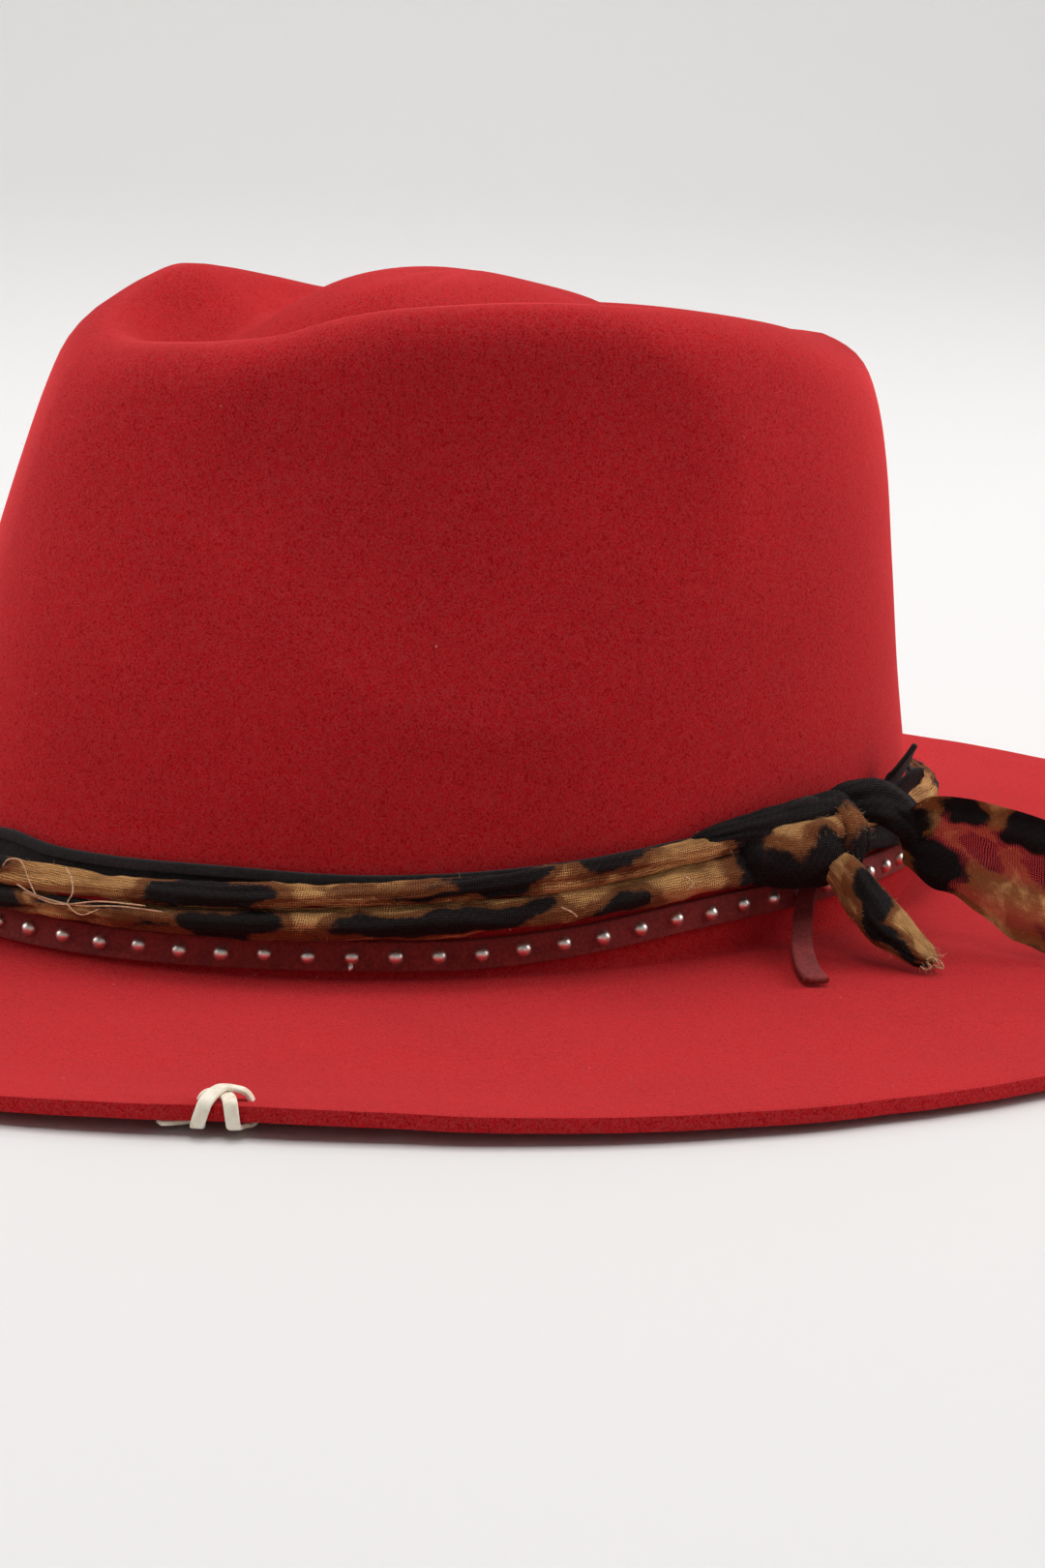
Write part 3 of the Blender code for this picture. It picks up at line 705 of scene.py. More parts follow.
@dataclass(frozen=True)
class GauzeFinish:
    """Open cotton gauze: single threads over and under each other, tan with dark blotches.

    sheer is how open the weave is: 0 on a roll of many layers, towards 1 where one layer hangs free.
    hollow is how strongly painted shade darkens the gaps between the threads. painted_glow is the strength
    of a
    painted glow: the cloth gives off its own colour as light, in place of the light that a single layer lets
    through from behind.
    """

    name: str
    sheer: float = 0.0
    pitch: float = 0.44
    tan: Colour = (0.95, 0.51, 0.175)
    brown: Colour = (0.30, 0.100, 0.026)
    black: Colour = (0.0075, 0.0055, 0.0065)
    # Painted shade for the gaps between the threads: its colour, and how strongly it darkens them.
    shadow: Colour = (0.016, 0.006, 0.003)
    hollow: float = 0.95
    # Strength of the painted glow that stands in for light let through from behind.
    painted_glow: float = 0.07
    relief: float = 0.45

    def threads(self, graph: Graph, cloth: Wire, wander: Wire, slub: Wire) -> tuple[Wire, Wire, Wire]:
        """The two sets of threads.

        Args:
            graph: the material's nodes.
            cloth: the cloth's own coordinates in metres.
            wander: noise that bends the threads.
            slub: noise that thickens them here and there.

        Returns:
            How far each place lies on a lengthwise thread, on a crosswise one, and how high both stand.
        """
        turns = math.pi / (self.pitch * MM)
        along = graph.axis(cloth, 0) * turns + wander * 7.0
        across = graph.axis(cloth, 1) * turns + wander * 6.0
        warp = graph.math("ABSOLUTE", graph.math("SINE", along)) + slub * 0.16 - 0.08
        weft = graph.math("ABSOLUTE", graph.math("SINE", across)) + slub * 0.16 - 0.08
        weave = graph.math("SINE", along * 0.5) * graph.math("SINE", across * 0.5)
        over = graph.step(weave, -0.3, 0.3)
        low, high = 0.30 + 0.42 * self.sheer, 0.85 + 0.08 * self.sheer
        warp_mask, weft_mask = graph.step(warp, low, high), graph.step(weft, low, high)
        top = graph.math("MAXIMUM", warp_mask * (0.5 + over * 0.5), weft_mask * (1.0 - over * 0.5))
        return warp_mask, weft_mask, top

    def material(self) -> bpy.types.Material:
        """Builds the finish.

        Returns:
            Its material.
        """
        graph = Graph(self.name)
        cloth = graph.coordinates("UV")
        wander = graph.noise(cloth, 240.0, 2.0)
        slub = graph.noise(graph.stretch(cloth, (1.0, 9.0, 1.0)), 420.0, 2.0)
        warp, weft, thread = self.threads(graph, cloth, wander, slub)
        ragged = graph.noise(cloth, 130.0, 5.0, 0.62) * 5.0 + slub * 0.7 - 2.85
        depth = graph.attribute("print") + ragged
        dark = graph.step(depth, -0.50, 0.35)
        rim = graph.step(depth, -2.2, -0.4) * 0.42
        tone = graph.noise(cloth, 80.0, 3.0) * 0.8 + slub * 0.45 - 0.12 - rim
        ground = graph.mix(graph.step(tone, 0.20, 0.70), self.brown, self.tan)
        colour = graph.mix(dark, ground, self.black)
        # Painted shade: the gaps and low parts of the weave are darkened towards the shadow colour.
        colour = graph.mix((1.0 - thread) * self.hollow, colour, self.shadow)
        sockets: dict[str, Value] = {
            "Base Color": colour,
            "Roughness": 0.85,
            "Normal": graph.bump(thread + slub * 0.4, self.relief),
            "Sheen Weight": 0.05,
            "Sheen Roughness": 0.5,
            "Specular IOR Level": 0.12,
        }
        if self.sheer:
            open_share = graph.step(graph.attribute("layers"), 0.9, 0.1)
            sockets["Alpha"] = 1.0 - (1.0 - warp) * (1.0 - weft) * open_share * self.sheer
            # Painted glow: the cloth gives off its own colour as light, standing in for light let through
            # from behind.
            sockets["Emission Color"] = colour
            sockets["Emission Strength"] = self.painted_glow
        return graph.surface(sockets)


@dataclass(frozen=True)
class ThreadFinish:
    """Twisted cotton thread."""

    name: str
    colour: Colour

    def material(self) -> bpy.types.Material:
        """Builds the finish.

        Returns:
            Its material.
        """
        graph = Graph(self.name)
        twist = graph.noise(graph.coordinates("Object"), 2200.0, 2.0)
        dark = tuple(part * 0.55 for part in self.colour)
        colour = graph.mix(graph.step(twist, 0.3, 0.7), dark, self.colour)
        return graph.surface({"Base Color": colour, "Roughness": 0.8, "Normal": graph.bump(twist, 0.05)})


@dataclass(frozen=True)
class StudFinish:
    """Polished nickel with faint handling marks."""

    colour: Colour = (0.97, 0.93, 0.86)
    smudged: Colour = (0.80, 0.74, 0.66)

    def material(self) -> bpy.types.Material:
        """Builds the finish.

        Returns:
            Its material.
        """
        graph = Graph("nickel_stud")
        place = graph.coordinates("Object")
        smudge = graph.noise(place, 900.0, 3.0)
        colour = graph.mix(graph.step(smudge, 0.3, 0.8), self.colour, self.smudged)
        return graph.surface(
            {
                "Base Color": colour,
                "Metallic": 1.0,
                "Roughness": 0.30 + smudge * 0.16,
                "Normal": graph.bump(graph.noise(place, 1800.0), 0.01),
            }
        )


@dataclass(frozen=True)
class CreamLeatherFinish:
    """Pale smooth lace with a fine grain, a little darker in its hollows."""

    light: Colour = (0.98, 0.91, 0.77)
    dark: Colour = (0.80, 0.67, 0.48)

    def material(self) -> bpy.types.Material:
        """Builds the finish.

        Returns:
            Its material.
        """
        graph = Graph("cream_lace")
        place = graph.coordinates("Object")
        patch = graph.noise(place, 420.0, 3.0)
        grain = graph.cells(place, 2600.0)
        colour = graph.mix(graph.step(patch, 0.25, 0.6), self.dark, self.light)
        return graph.surface(
            {
                "Base Color": colour,
                "Roughness": 0.5 + patch * 0.25,
                "Normal": graph.bump(grain * 0.5 + patch, 0.08),
                "Specular IOR Level": 0.4,
            }
        )


@dataclass(frozen=True)
class FloorFinish:
    """A pale plain studio floor."""

    colour: Colour = (0.775, 0.772, 0.768)
    grey: Colour = (0.74, 0.74, 0.74)

    def material(self) -> bpy.types.Material:
        """Builds the finish.

        Returns:
            Its material.
        """
        graph = Graph("studio_floor")
        tone = graph.noise(graph.coordinates("Object"), 3.0, 2.0)
        colour = graph.mix(tone * 0.06, self.colour, self.grey)
        return graph.surface({"Base Color": colour, "Roughness": 0.85, "Specular IOR Level": 0.2})


# Shapes that several pieces share


def through(values: Array, keys: Array, share: Array) -> Array:
    """Reads rows of values smoothly at shares of the way.

    Args:
        values: one row for each key.
        keys: the rows' own shares from 0 to 1.
        share: where to read.

    Returns:
        One row for each share.
    """
    columns = [Curve(tuple(keys), tuple(column)).at(share) for column in values.T]
    return np.stack(columns, axis=-1)


def corner(value: Array, square: float) -> Array:
    """A cosine or sine pushed towards a box: square 1 leaves it round, 0.3 is nearly square."""
    return np.sign(value) * np.abs(value) ** square


def gather(parts: Sequence[bmesh.types.BMesh]) -> bmesh.types.BMesh:
    """Joins several meshes into one.

    Args:
        parts: the meshes, which are freed.

    Returns:
        One mesh with all of them.
    """
    whole = bmesh.new()
    for part in parts:
        mesh = as_mesh("part", part)
        whole.from_mesh(mesh)
        bpy.data.meshes.remove(mesh)
    return whole


@dataclass(frozen=True)
class Blotch:
    """One dark spot of the leopard print: its middle and half lengths on a piece's own two measures.

    size is how steeply it deepens from its rim, and pale how far its middle falls short of black.
    """

    u: float
    v: float
    half_u: float
    half_v: float
    size: float = 3.0
    pale: float = 0.0


def printed(u: Array, v: Array, blotches: Sequence[Blotch], period: tuple[float, float]) -> Array:
    """How deep inside a dark blotch each place lies.

    Args:
        u: the first measure of each place.
        v: the second measure.
        blotches: the spots.
        period: after how much each measure repeats.

    Returns:
        About mm inside the nearest blotch, and below 0 outside.
    """
    depth = np.full(u.shape, -9.0)
    for blotch in blotches:
        du = (u - blotch.u + period[0] / 2) % period[0] - period[0] / 2
        dv = (v - blotch.v + period[1] / 2) % period[1] - period[1] / 2
        away = np.hypot(du / blotch.half_u, dv / blotch.half_v)
        depth = np.maximum(depth, (1.0 - away) * blotch.size - blotch.pale)
    return depth


@dataclass
class Loop:
    """A strand that goes once round the crown.

    section gives its section for each turn. relief adds mm to its surface by turn and by the angle in its
    section, which starts at the outer side (0) and passes the top (90).
    """

    section: Callable[[Array], Section]
    columns: int
    around: int
    length: float = STRAND_LENGTH
    square: float = 1.0
    relief: Measure | None = None
    paint: Measure | None = None

    def place(self, u: Array, v: Array) -> Array:
        """Bends the strand round the crown.

        Args:
            u: shares of the way round the crown.
            v: shares of the way round the section.

        Returns:
            Points in mm.
        """
        turn, angle = u * 360.0 - 180.0, v * 360.0
        out, height, deep, high = self.section(turn)
        if self.relief:
            extra = self.relief(turn % 360.0, angle % 360.0)
            deep, high = deep + extra, high + extra
        across = corner(np.cos(np.radians(angle)), self.square)
        up = corner(np.sin(np.radians(angle)), self.square)
        return FORM.beside(turn, height + high * up, out + deep * across)

    def build(self) -> bmesh.types.BMesh:
        """Makes the strand's mesh.

        Returns:
            The mesh, with its print where it has one.
        """
        out, height, deep, high = self.section(np.zeros(1))
        rim = math.tau * math.sqrt(float(deep[0] ** 2 + high[0] ** 2) / 2)
        paints = {}
        if self.paint:
            paints["print"] = lambda u, v: self.paint((u * 360.0 - 180.0) % 360.0, v * 360.0 % 360.0)
        return Skin(self.columns, self.around, self.place, (self.length, rim), paints).build()


@dataclass
class Tube:
    """A strand along an open path, closed at both ends.

    half holds its half width, which lies across the way it faces, and its half depth at each row. cap is
    the share of the length that each end takes to round off, and look_ahead the share of it over which
    the strand's direction is read.
    """

    path: Array
    facing: Array
    half: Array
    columns: int
    around: int
    square: float = 1.0
    cap: float = 0.04
    look_ahead: float = 0.01
    relief: Measure | None = None
    paint: Measure | None = None

    def keys(self) -> Array:
        """Each row's share of the path's length."""
        steps = np.linalg.norm(np.diff(self.path, axis=0), axis=1)
        return np.concatenate([[0.0], np.cumsum(steps)]) / steps.sum()

    def place(self, u: Array, v: Array) -> Array:
        """Bends the strand along its path.

        Args:
            u: shares of the way along the path.
            v: shares of the way round the section.

        Returns:
            Points in mm.
        """
        keys = self.keys()
        middle = through(self.path, keys, u)
        after = through(self.path, keys, np.minimum(u + self.look_ahead, 1.0))
        ahead = unit(after - through(self.path, keys, np.maximum(u - self.look_ahead, 0.0)))
        across = unit(np.cross(ahead, through(self.facing, keys, u)))
        over = np.cross(across, ahead)
        near_end = 1.0 - np.minimum(np.minimum(u, 1.0 - u) / self.cap, 1.0)
        half = through(self.half, keys, u)
        if self.relief:
            half = half + self.relief(u, v * 360.0)[:, None]
        half = half * np.sqrt(np.maximum(1.0 - near_end**2, 0.0))[:, None]
        wide = corner(np.cos(math.tau * v), self.square) * half[:, 0]
        deep = corner(np.sin(math.tau * v), self.square) * half[:, 1]
        return middle + across * wide[:, None] + over * deep[:, None]

    def build(self) -> bmesh.types.BMesh:
        """Makes the strand's mesh.

        Returns:
            The mesh, with its print where it has one.
        """
        length = float(np.linalg.norm(np.diff(self.path, axis=0), axis=1).sum())
        rim = math.tau * float(np.sqrt((self.half**2).sum(axis=1) / 2).mean())
        paints = {}
        if self.paint:
            paints["print"] = lambda u, v: self.paint(u, v * 360.0 % 360.0)
        return Skin(self.columns, self.around, self.place, (length, rim), paints).build()


def beside_path(rows: Rows) -> Array:
    """Points in mm of rows that start with a turn, an out and a height."""
    turn, out, height = np.array([row[:3] for row in rows], float).T
    return FORM.beside(turn, height, out)


def outward_at(rows: Rows) -> Array:
    """The level direction away from the crown at each row."""
    turn, out, height = np.array([row[:3] for row in rows], float).T
    return FORM.beside(turn, height, out + 1.0) - FORM.beside(turn, height, out)


def upward(rows: Rows) -> Array:
    """Straight up at each row."""
    return np.tile(UP, (len(rows), 1))


def standing(away: Vector) -> Matrix:
    """The turn that lays Z along a direction."""
    return away.to_track_quat("Z", "Y").to_matrix().to_4x4()


def scatter(template: bpy.types.Mesh, places: Sequence[Matrix]) -> bmesh.types.BMesh:
    """Repeats a small mesh.

    Args:
        template: the mesh, which is removed.
        places: where each copy goes.

    Returns:
        One mesh with all the copies.
    """
    whole = bmesh.new()
    for place in places:
        copy = template.copy()
        copy.transform(place)
        whole.from_mesh(copy)
        bpy.data.meshes.remove(copy)
    bpy.data.meshes.remove(template)
    return whole


def hair_mesh(length: float, thickness: float, bend: float) -> bpy.types.Mesh:
    """One short tapering fibre that stands on its root and bends over.

    Args:
        length: its length in mm.
        thickness: its width at the root in mm.
        bend: how far its tip leans over, in mm.

    Returns:
        Its mesh.
    """
    bm = bmesh.new()
    bmesh.ops.create_cone(
        bm,
        cap_ends=True,
        segments=3,
        radius1=thickness / 2 * MM,
        radius2=thickness / 5 * MM,
        depth=length * MM,
        matrix=Matrix.Translation((0.0, 0.0, length / 2 * MM)),
    )
    for share in (0.3, 0.6, 0.85):
        cut = bm.verts[:] + bm.edges[:] + bm.faces[:]
        bmesh.ops.bisect_plane(bm, geom=cut, plane_co=(0.0, 0.0, length * share * MM), plane_no=UP)
    for vert in bm.verts:
        up = vert.co.z / (length * MM)
        vert.co.x += bend * up**2 * MM
        vert.co.z -= abs(bend) * 0.35 * up**2 * MM
    return as_mesh("hair", bm)


def sprout(
    piece: bpy.types.Object, count: int, lean: float, seed: int, dark: bool | None = None
) -> list[Matrix]:
    """Places for fibres that stand on a piece.

    Args:
        piece: the piece they grow on.
        count: how many.
        lean: how far they lean from straight out, 0 to 1.
        seed: shifts the pattern.
        dark: only where its print is dark, or only where it is not.

    Returns:
        A place for each, with Z away from the surface.
    """
    chance = random.Random(seed)
    mesh = piece.data
    print_layer = mesh.attributes.get("print")
    faces = list(mesh.polygons)
    areas = np.cumsum([face.area for face in faces])
    places = []
    while len(places) < count:
        face = faces[int(np.searchsorted(areas, chance.random() * areas[-1]))]
        if dark is not None and print_layer:
            depth = sum(print_layer.data[i].value for i in face.vertices) / len(face.vertices)
            if (depth > 0.3) is not dark:
                continue
        away = Vector(face.normal) + Vector([chance.uniform(-lean, lean) for _ in range(3)])
        spun = Matrix.Rotation(chance.uniform(0.0, 6.28), 4, "Z")
        size = chance.uniform(0.5, 1.25)
        places.append(Matrix.Translation(face.center) @ standing(away) @ spun @ Matrix.Scale(size, 4))
    return places


# The hat


@dataclass
class FeltBody:
    """The crown and brim as one felt shell."""

    columns: int = 340
    rows: int = 140
    cloth_size: tuple[float, float] = (1000.0, 280.0)
    edge_round: float = 0.6
    edge_angle: float = 50.0
    brim_shares: tuple[float, ...] = (1.0, 0.93, 0.78, 0.58, 0.24, 0.12, 0.045)
    lump_height: float = 0.30
    flat_below: float = 3.0
    edge_wander: float = 0.35
    # The shallow hollow pressed into each side of the crown: its middle's y and height, how far it
    # reaches along, up and down, and how far from the crown's middle plane it begins and is full.
    press_depth: float = 5.8
    press_middle: tuple[float, float] = (-11.0, 91.0)
    press_reach: tuple[float, float, float] = (47.0, 29.0, 46.0)
    press_start: float = 28.0
    press_blend: float = 12.0
    finish: FeltFinish = field(default_factory=FeltFinish)

    def profile(self, turn: Array) -> Array:
        """The felt's profile.

        Args:
            turn: degrees round the crown.

        Returns:
            Its knots from the brim's edge to the crown's middle, for each turn.
        """
        here = turn[:, None]
        parts = ((FORM.brim, self.brim_shares), (FORM.wall, WALL_SHARES), (FORM.top, TOP_SHARES[1:]))
        return np.concatenate([form(here, np.array(shares)[None, :]) for form, shares in parts], axis=1)

    def place(self, u: Array, v: Array) -> Array:
        """Bends the grid to the felt's inner side.

        Args:
            u: shares of the way round the crown.
            v: shares of the way from the brim's edge to the crown's middle.

        Returns:
            Points in mm.
        """
        turns, back = np.unique(np.round(u, 6), return_inverse=True)
        knots = self.profile(turns * 360.0)
        opposite = self.profile(turns * 360.0 + 180.0)[:, -2:-1]
        knots = np.concatenate([knots, opposite], axis=1)
        steps = np.linalg.norm(np.diff(knots, axis=1), axis=-1).mean(axis=0)
        keys = np.concatenate([[0.0], np.cumsum(steps)])
        slopes = np.empty_like(knots)
        slopes[:, 1:-1] = (knots[:, 2:] - knots[:, :-2]) / (keys[2:] - keys[:-2])[:, None]
        slopes[:, 0] = (knots[:, 1] - knots[:, 0]) / steps[0]
        slopes[:, -1] = (knots[:, -1] - knots[:, -2]) / steps[-1]
        at = v * keys[-2]
        low = np.clip(np.searchsorted(keys, at, side="right") - 1, 0, len(keys) - 3)
        width = (keys[low + 1] - keys[low])[:, None]
        t = (at - keys[low])[:, None] / width
        ends = (knots[back, low], knots[back, low + 1])
        points = hermite(t, width, ends, (slopes[back, low], slopes[back, low + 1]))
        points[:, 2] = np.maximum(points[:, 2], 0.0)
        return points

    def press(self, places: Array) -> Array:
        """The hollows in the crown's sides.

        Args:
            places: points of the felt in mm.

        Returns:
            How far each one is carried in towards the crown's middle, in mm, with the sign of its x.
        """
        along = (places[:, 1] - self.press_middle[0]) / self.press_reach[0]
        up = places[:, 2] - self.press_middle[1]
        up /= np.where(up > 0, self.press_reach[1], self.press_reach[2])
        inside = np.clip(1.0 - along**2 - up**2, 0.0, 1.0) ** 1.1
        beside = np.clip((np.abs(places[:, 0]) - self.press_start) / self.press_blend, 0.0, 1.0)
        return self.press_depth * inside * beside * np.sign(places[:, 0])

    def rumple(self, bm: bmesh.types.BMesh) -> None:
        """Gives the smooth form its hollows and the slight lumps of felt that was shaped by hand.

        Args:
            bm: the felt's inner side, which is changed.
        """
        middle = Vector((0.0, FORM.centre[1] * MM))
        places = np.array([vert.co[:] for vert in bm.verts]) / MM
        away = np.hypot(places[:, 0], places[:, 1] - FORM.centre[1])
        rise = lumps(places, 46.0) * 0.6 + lumps(places, 21.0, 4.0) * 0.4
        low = places[:, 2] < self.flat_below
        lifted = np.where(low, np.maximum(rise, 0.0) * 0.8, rise) * self.lump_height
        wander = lumps(places, 9.0, 7.0) * self.edge_wander
        pressed = self.press(places)
        for vert, lift, out, reach, inward in zip(bm.verts, lifted, wander, away, pressed):
            vert.co += vert.normal * lift * MM
            vert.co.x -= inward * MM
            if vert.is_boundary:
                vert.co.xy += (vert.co.xy - middle) / reach * out
            vert.co.z = max(vert.co.z, 0.0)

    def build(self) -> None:
        """Makes the shell and dresses it."""
        bm = Skin(self.columns, self.rows, self.place, self.cloth_size).build()
        highest = max(bm.faces, key=lambda face: face.calc_center_median().z)
        if highest.normal.z < 0:
            bmesh.ops.reverse_faces(bm, faces=bm.faces)
        self.rumple(bm)
        body = add_piece("felt_shell", bm, self.finish.material(), Slot.FELT, (Node.FELT,))
        thick = body.modifiers.new("thickness", "SOLIDIFY")
        thick.thickness = FORM.felt * MM
        thick.offset = 1.0
        thick.use_even_offset = True
        rounded = body.modifiers.new("edge", "BEVEL")
        rounded.width = self.edge_round * MM
        rounded.segments = 3
        rounded.limit_method = "ANGLE"
        rounded.angle_limit = math.radians(self.edge_angle)


@dataclass
class StuddedStrap:
    """The red suede strap round the crown's foot, its dome studs and its loose end."""

    width: float = 5.2
    thickness: float = 1.3
    off: float = 0.5
    middle: Curve = Curve(
        (-180.0, -90.0, 0.0, 75.0, 88.0, 100.0, 110.0, 137.0, 158.0, 180.0),
        (8.0, 7.8, 7.7, 7.8, 9.3, 11.4, 12.2, 12.4, 9.6, 8.0),
    )
    stud_count: int = 78
    first_turn: float = 28.5
    # Each point's reach from the stud's middle and its height over the strap.
    stud_profile: Rows = (
        (0.0, 1.30), (0.48, 1.23), (0.92, 1.02), (1.26, 0.66), (1.44, 0.20), (1.44, -0.25), (0.0, -0.25),
    )
    stud_steps: int = 14
    bent_turn: float = 65.4
    # Turn, out, height and half width of the loose end.
    end_rows: Rows = (
        (117.4, 3.0, 13.8, 1.7),
        (115.6, 4.6, 10.4, 1.8),
        (113.4, 7.8, 7.6, 1.9),
        (111.2, 11.8, 5.4, 2.0),
        (108.8, 17.7, 4.1, 2.15),
        (107.0, 24.4, 3.7, 2.3),
    )
    suede: SuedeFinish = SuedeFinish(
        "red_suede_strap", (0.135, 0.014, 0.014), (0.33, 0.045, 0.040), (1.0, 0.5, 0.45)
    )
    metal: StudFinish = StudFinish()

    def section(self, turn: Array) -> Section:
        """The strap's section.

        Args:
            turn: degrees round the crown.

        Returns:
            Its section at each turn.
        """
        flat = np.ones_like(turn)
        wave = 0.16 * np.sin(np.radians(turn * 7.0 + 20.0))
        deep, high = self.thickness / 2, self.width / 2
        return flat * (self.off + deep), self.middle.at(turn) + wave, flat * deep, flat * high

    def face(self, turn: Array) -> Array:
        """The middle of the strap's outer face at each turn."""
        out, height, deep, high = self.section(turn)
        return FORM.beside(turn, height, out + deep)

    def even_turns(self) -> Array:
        """Spaces the studs evenly along the strap.

        Returns:
            The turn of each stud.
        """
        fine = self.first_turn + np.arange(0.0, 360.5, 0.5)
        steps = np.linalg.norm(np.diff(self.face(signed(fine)), axis=0), axis=1)
        along = np.concatenate([[0.0], np.cumsum(steps)])
        return np.interp(np.arange(self.stud_count) / self.stud_count, along / along[-1], fine)

    def stud(self) -> bpy.types.Mesh:
        """One stud, spun from its profile about Z."""
        profile = [(reach * MM, up * MM) for reach, up in self.stud_profile]
        return as_mesh("stud", lathe(profile, self.stud_steps, WELD))

    def studs(self) -> bmesh.types.BMesh:
        """Sets all the studs, each square on the strap and a little off true.

        Returns:
            One mesh of all of them.
        """
        chance = random.Random(SEED)
        places = []
        for turn in signed(self.even_turns()).tolist():
            here = self.face(np.array([turn]))[0]
            felt = FORM.beside(np.array([turn]), here[2], 0.0)[0]
            slip = chance.uniform(-0.22, 0.22)
            outward = Vector(here - felt).normalized() + Vector((0.0, 0.0, chance.uniform(-0.06, 0.06)))
            place = Matrix.Translation(Vector(here) * MM + Vector((0.0, 0.0, slip * MM)))
            places.append(place @ standing(outward) @ Matrix.Scale(chance.uniform(0.94, 1.04), 4))
        return scatter(self.stud(), places)

    def prong(self) -> bmesh.types.BMesh:
        """The bent prong that peeps out beneath one stud.

        Returns:
            Its mesh.
        """
        turns = signed(self.even_turns())
        turn = float(turns[np.abs(turns - self.bent_turn).argmin()])
        height = float(self.middle.at(turn))
        rows = ((turn, 2.2, height - 0.9), (turn + 0.05, 2.5, height - 1.7), (turn - 0.1, 2.3, height - 2.3))
        half = np.array(((0.42, 0.20), (0.34, 0.18), (0.14, 0.12)))
        return Tube(beside_path(rows), outward_at(rows), half, 8, 8).build()

    def end(self) -> bmesh.types.BMesh:
        """The strap's loose end, which comes from under the knot and lies on the brim.

        Returns:
            Its mesh.
        """
        path = beside_path(self.end_rows)
        half = np.array([(row[3], self.thickness / 2) for row in self.end_rows])
        return Tube(path, upward(self.end_rows), half, 40, 20, square=0.35, cap=0.012).build()

    def build(self) -> None:
        """Makes the strap, its studs and its end."""
        suede = self.suede.material()
        metal = self.metal.material()
        strap = Loop(self.section, 420, 20, square=0.32)
        add_piece("strap_loop", strap.build(), suede, Slot.RED_SUEDE, (Node.STRAP,))
        add_piece("strap_studs", self.studs(), metal, Slot.STUD, (Node.STRAP,), 40.0)
        add_piece("stud_prong", self.prong(), metal, Slot.STUD, (Node.STRAP,))
        add_piece("strap_cut_end", self.end(), suede, Slot.RED_SUEDE, (Node.STRAP_END,))


@dataclass
class BlackLaces:
    """The black suede laces behind the scarf and their upright cut ends."""

    turns: ClassVar[tuple[float, ...]] = (
        -180.0, -90.0, 0.0, 50.0, 68.0, 88.0, 104.0, 130.0, 150.0, 180.0
    )
    low: Curve = Curve(turns, (18.2, 18.0, 17.6, 17.6, 17.4, 19.4, 21.8, 21.6, 19.4, 18.2))
    top: Curve = Curve(turns, (22.8, 22.6, 22.3, 22.3, 21.6, 23.6, 26.2, 26.0, 24.0, 22.8))
    # Turn, out, height and half width of each upright end.
    end_rows: Rows = (
        (135.4, 2.6, 27.2, 2.3),
        (136.2, 4.0, 29.6, 2.9),
        (136.4, 6.2, 32.8, 2.3),
        (136.2, 8.6, 36.2, 0.4),
    )
    second_rows: Rows = (
        (133.6, 4.4, 25.6, 1.8),
        (134.8, 6.2, 27.8, 2.2),
        (136.0, 8.0, 29.8, 1.9),
        (137.0, 9.2, 30.8, 1.0),
    )
    short_rows: Rows = (
        (112.6, 5.0, 28.4, 0.9),
        (113.8, 6.0, 29.8, 1.1),
        (115.2, 6.6, 30.6, 1.1),
        (116.6, 6.6, 30.2, 0.7),
    )
    suede: SuedeFinish = SuedeFinish(
        "black_suede_lace", (0.006, 0.005, 0.006), (0.030, 0.024, 0.025), (0.55, 0.42, 0.40)
    )

    def back_section(self, turn: Array) -> Section:
        """The inner lace, which lies against the felt.

        Args:
            turn: degrees round the crown.

        Returns:
            Its section at each turn.
        """
        low, top = self.low.at(turn), self.top.at(turn)
        flat = np.ones_like(turn)
        wave = 0.15 * np.sin(np.radians(turn * 9.0))
        return flat * 0.75, (low + top - 0.9) / 2 + wave, flat * 0.42, (top - low - 0.9) / 2

    def front_section(self, turn: Array) -> Section:
        """The outer lace, whose upper part shows over the scarf and whose end rises at the front.

        Args:
            turn: degrees round the crown.

        Returns:
            Its section at each turn.
        """
        top = self.top.at(turn)
        flat = np.ones_like(turn)
        wave = 0.22 * np.sin(np.radians(turn * 6.0 + 80.0)) + 0.10 * np.sin(np.radians(turn * 17.0))
        end = np.exp(-(((turn - 21.0) / 5.0) ** 2)) * 1.3
        return flat * 1.62, top - 0.95 + wave * 0.5 + end, flat * 0.45, flat * 0.98

    def end(self, rows: Rows) -> bmesh.types.BMesh:
        """One upright end, cut to a point."""
        half = np.array([(row[3], 0.55) for row in rows])
        return Tube(beside_path(rows), outward_at(rows), half, 36, 16, square=0.4, cap=0.03).build()

    def build(self) -> None:
        """Makes both laces and their ends."""
        suede = self.suede.material()
        back = Loop(self.back_section, 360, 16, square=0.35)
        front = Loop(self.front_section, 360, 16, square=0.4)
        for name, shape, node in (
            ("black_lace_inner", back.build(), Node.LACE),
            ("black_lace_outer", front.build(), Node.LACE),
            ("black_lace_tip", self.end(self.end_rows), Node.LACE_END),
            ("black_lace_tip_two", self.end(self.second_rows), Node.LACE_END),
            ("black_lace_short_end", self.end(self.short_rows), Node.LACE_END),
        ):
            add_piece(name, shape, suede, Slot.BLACK_SUEDE, (node,))


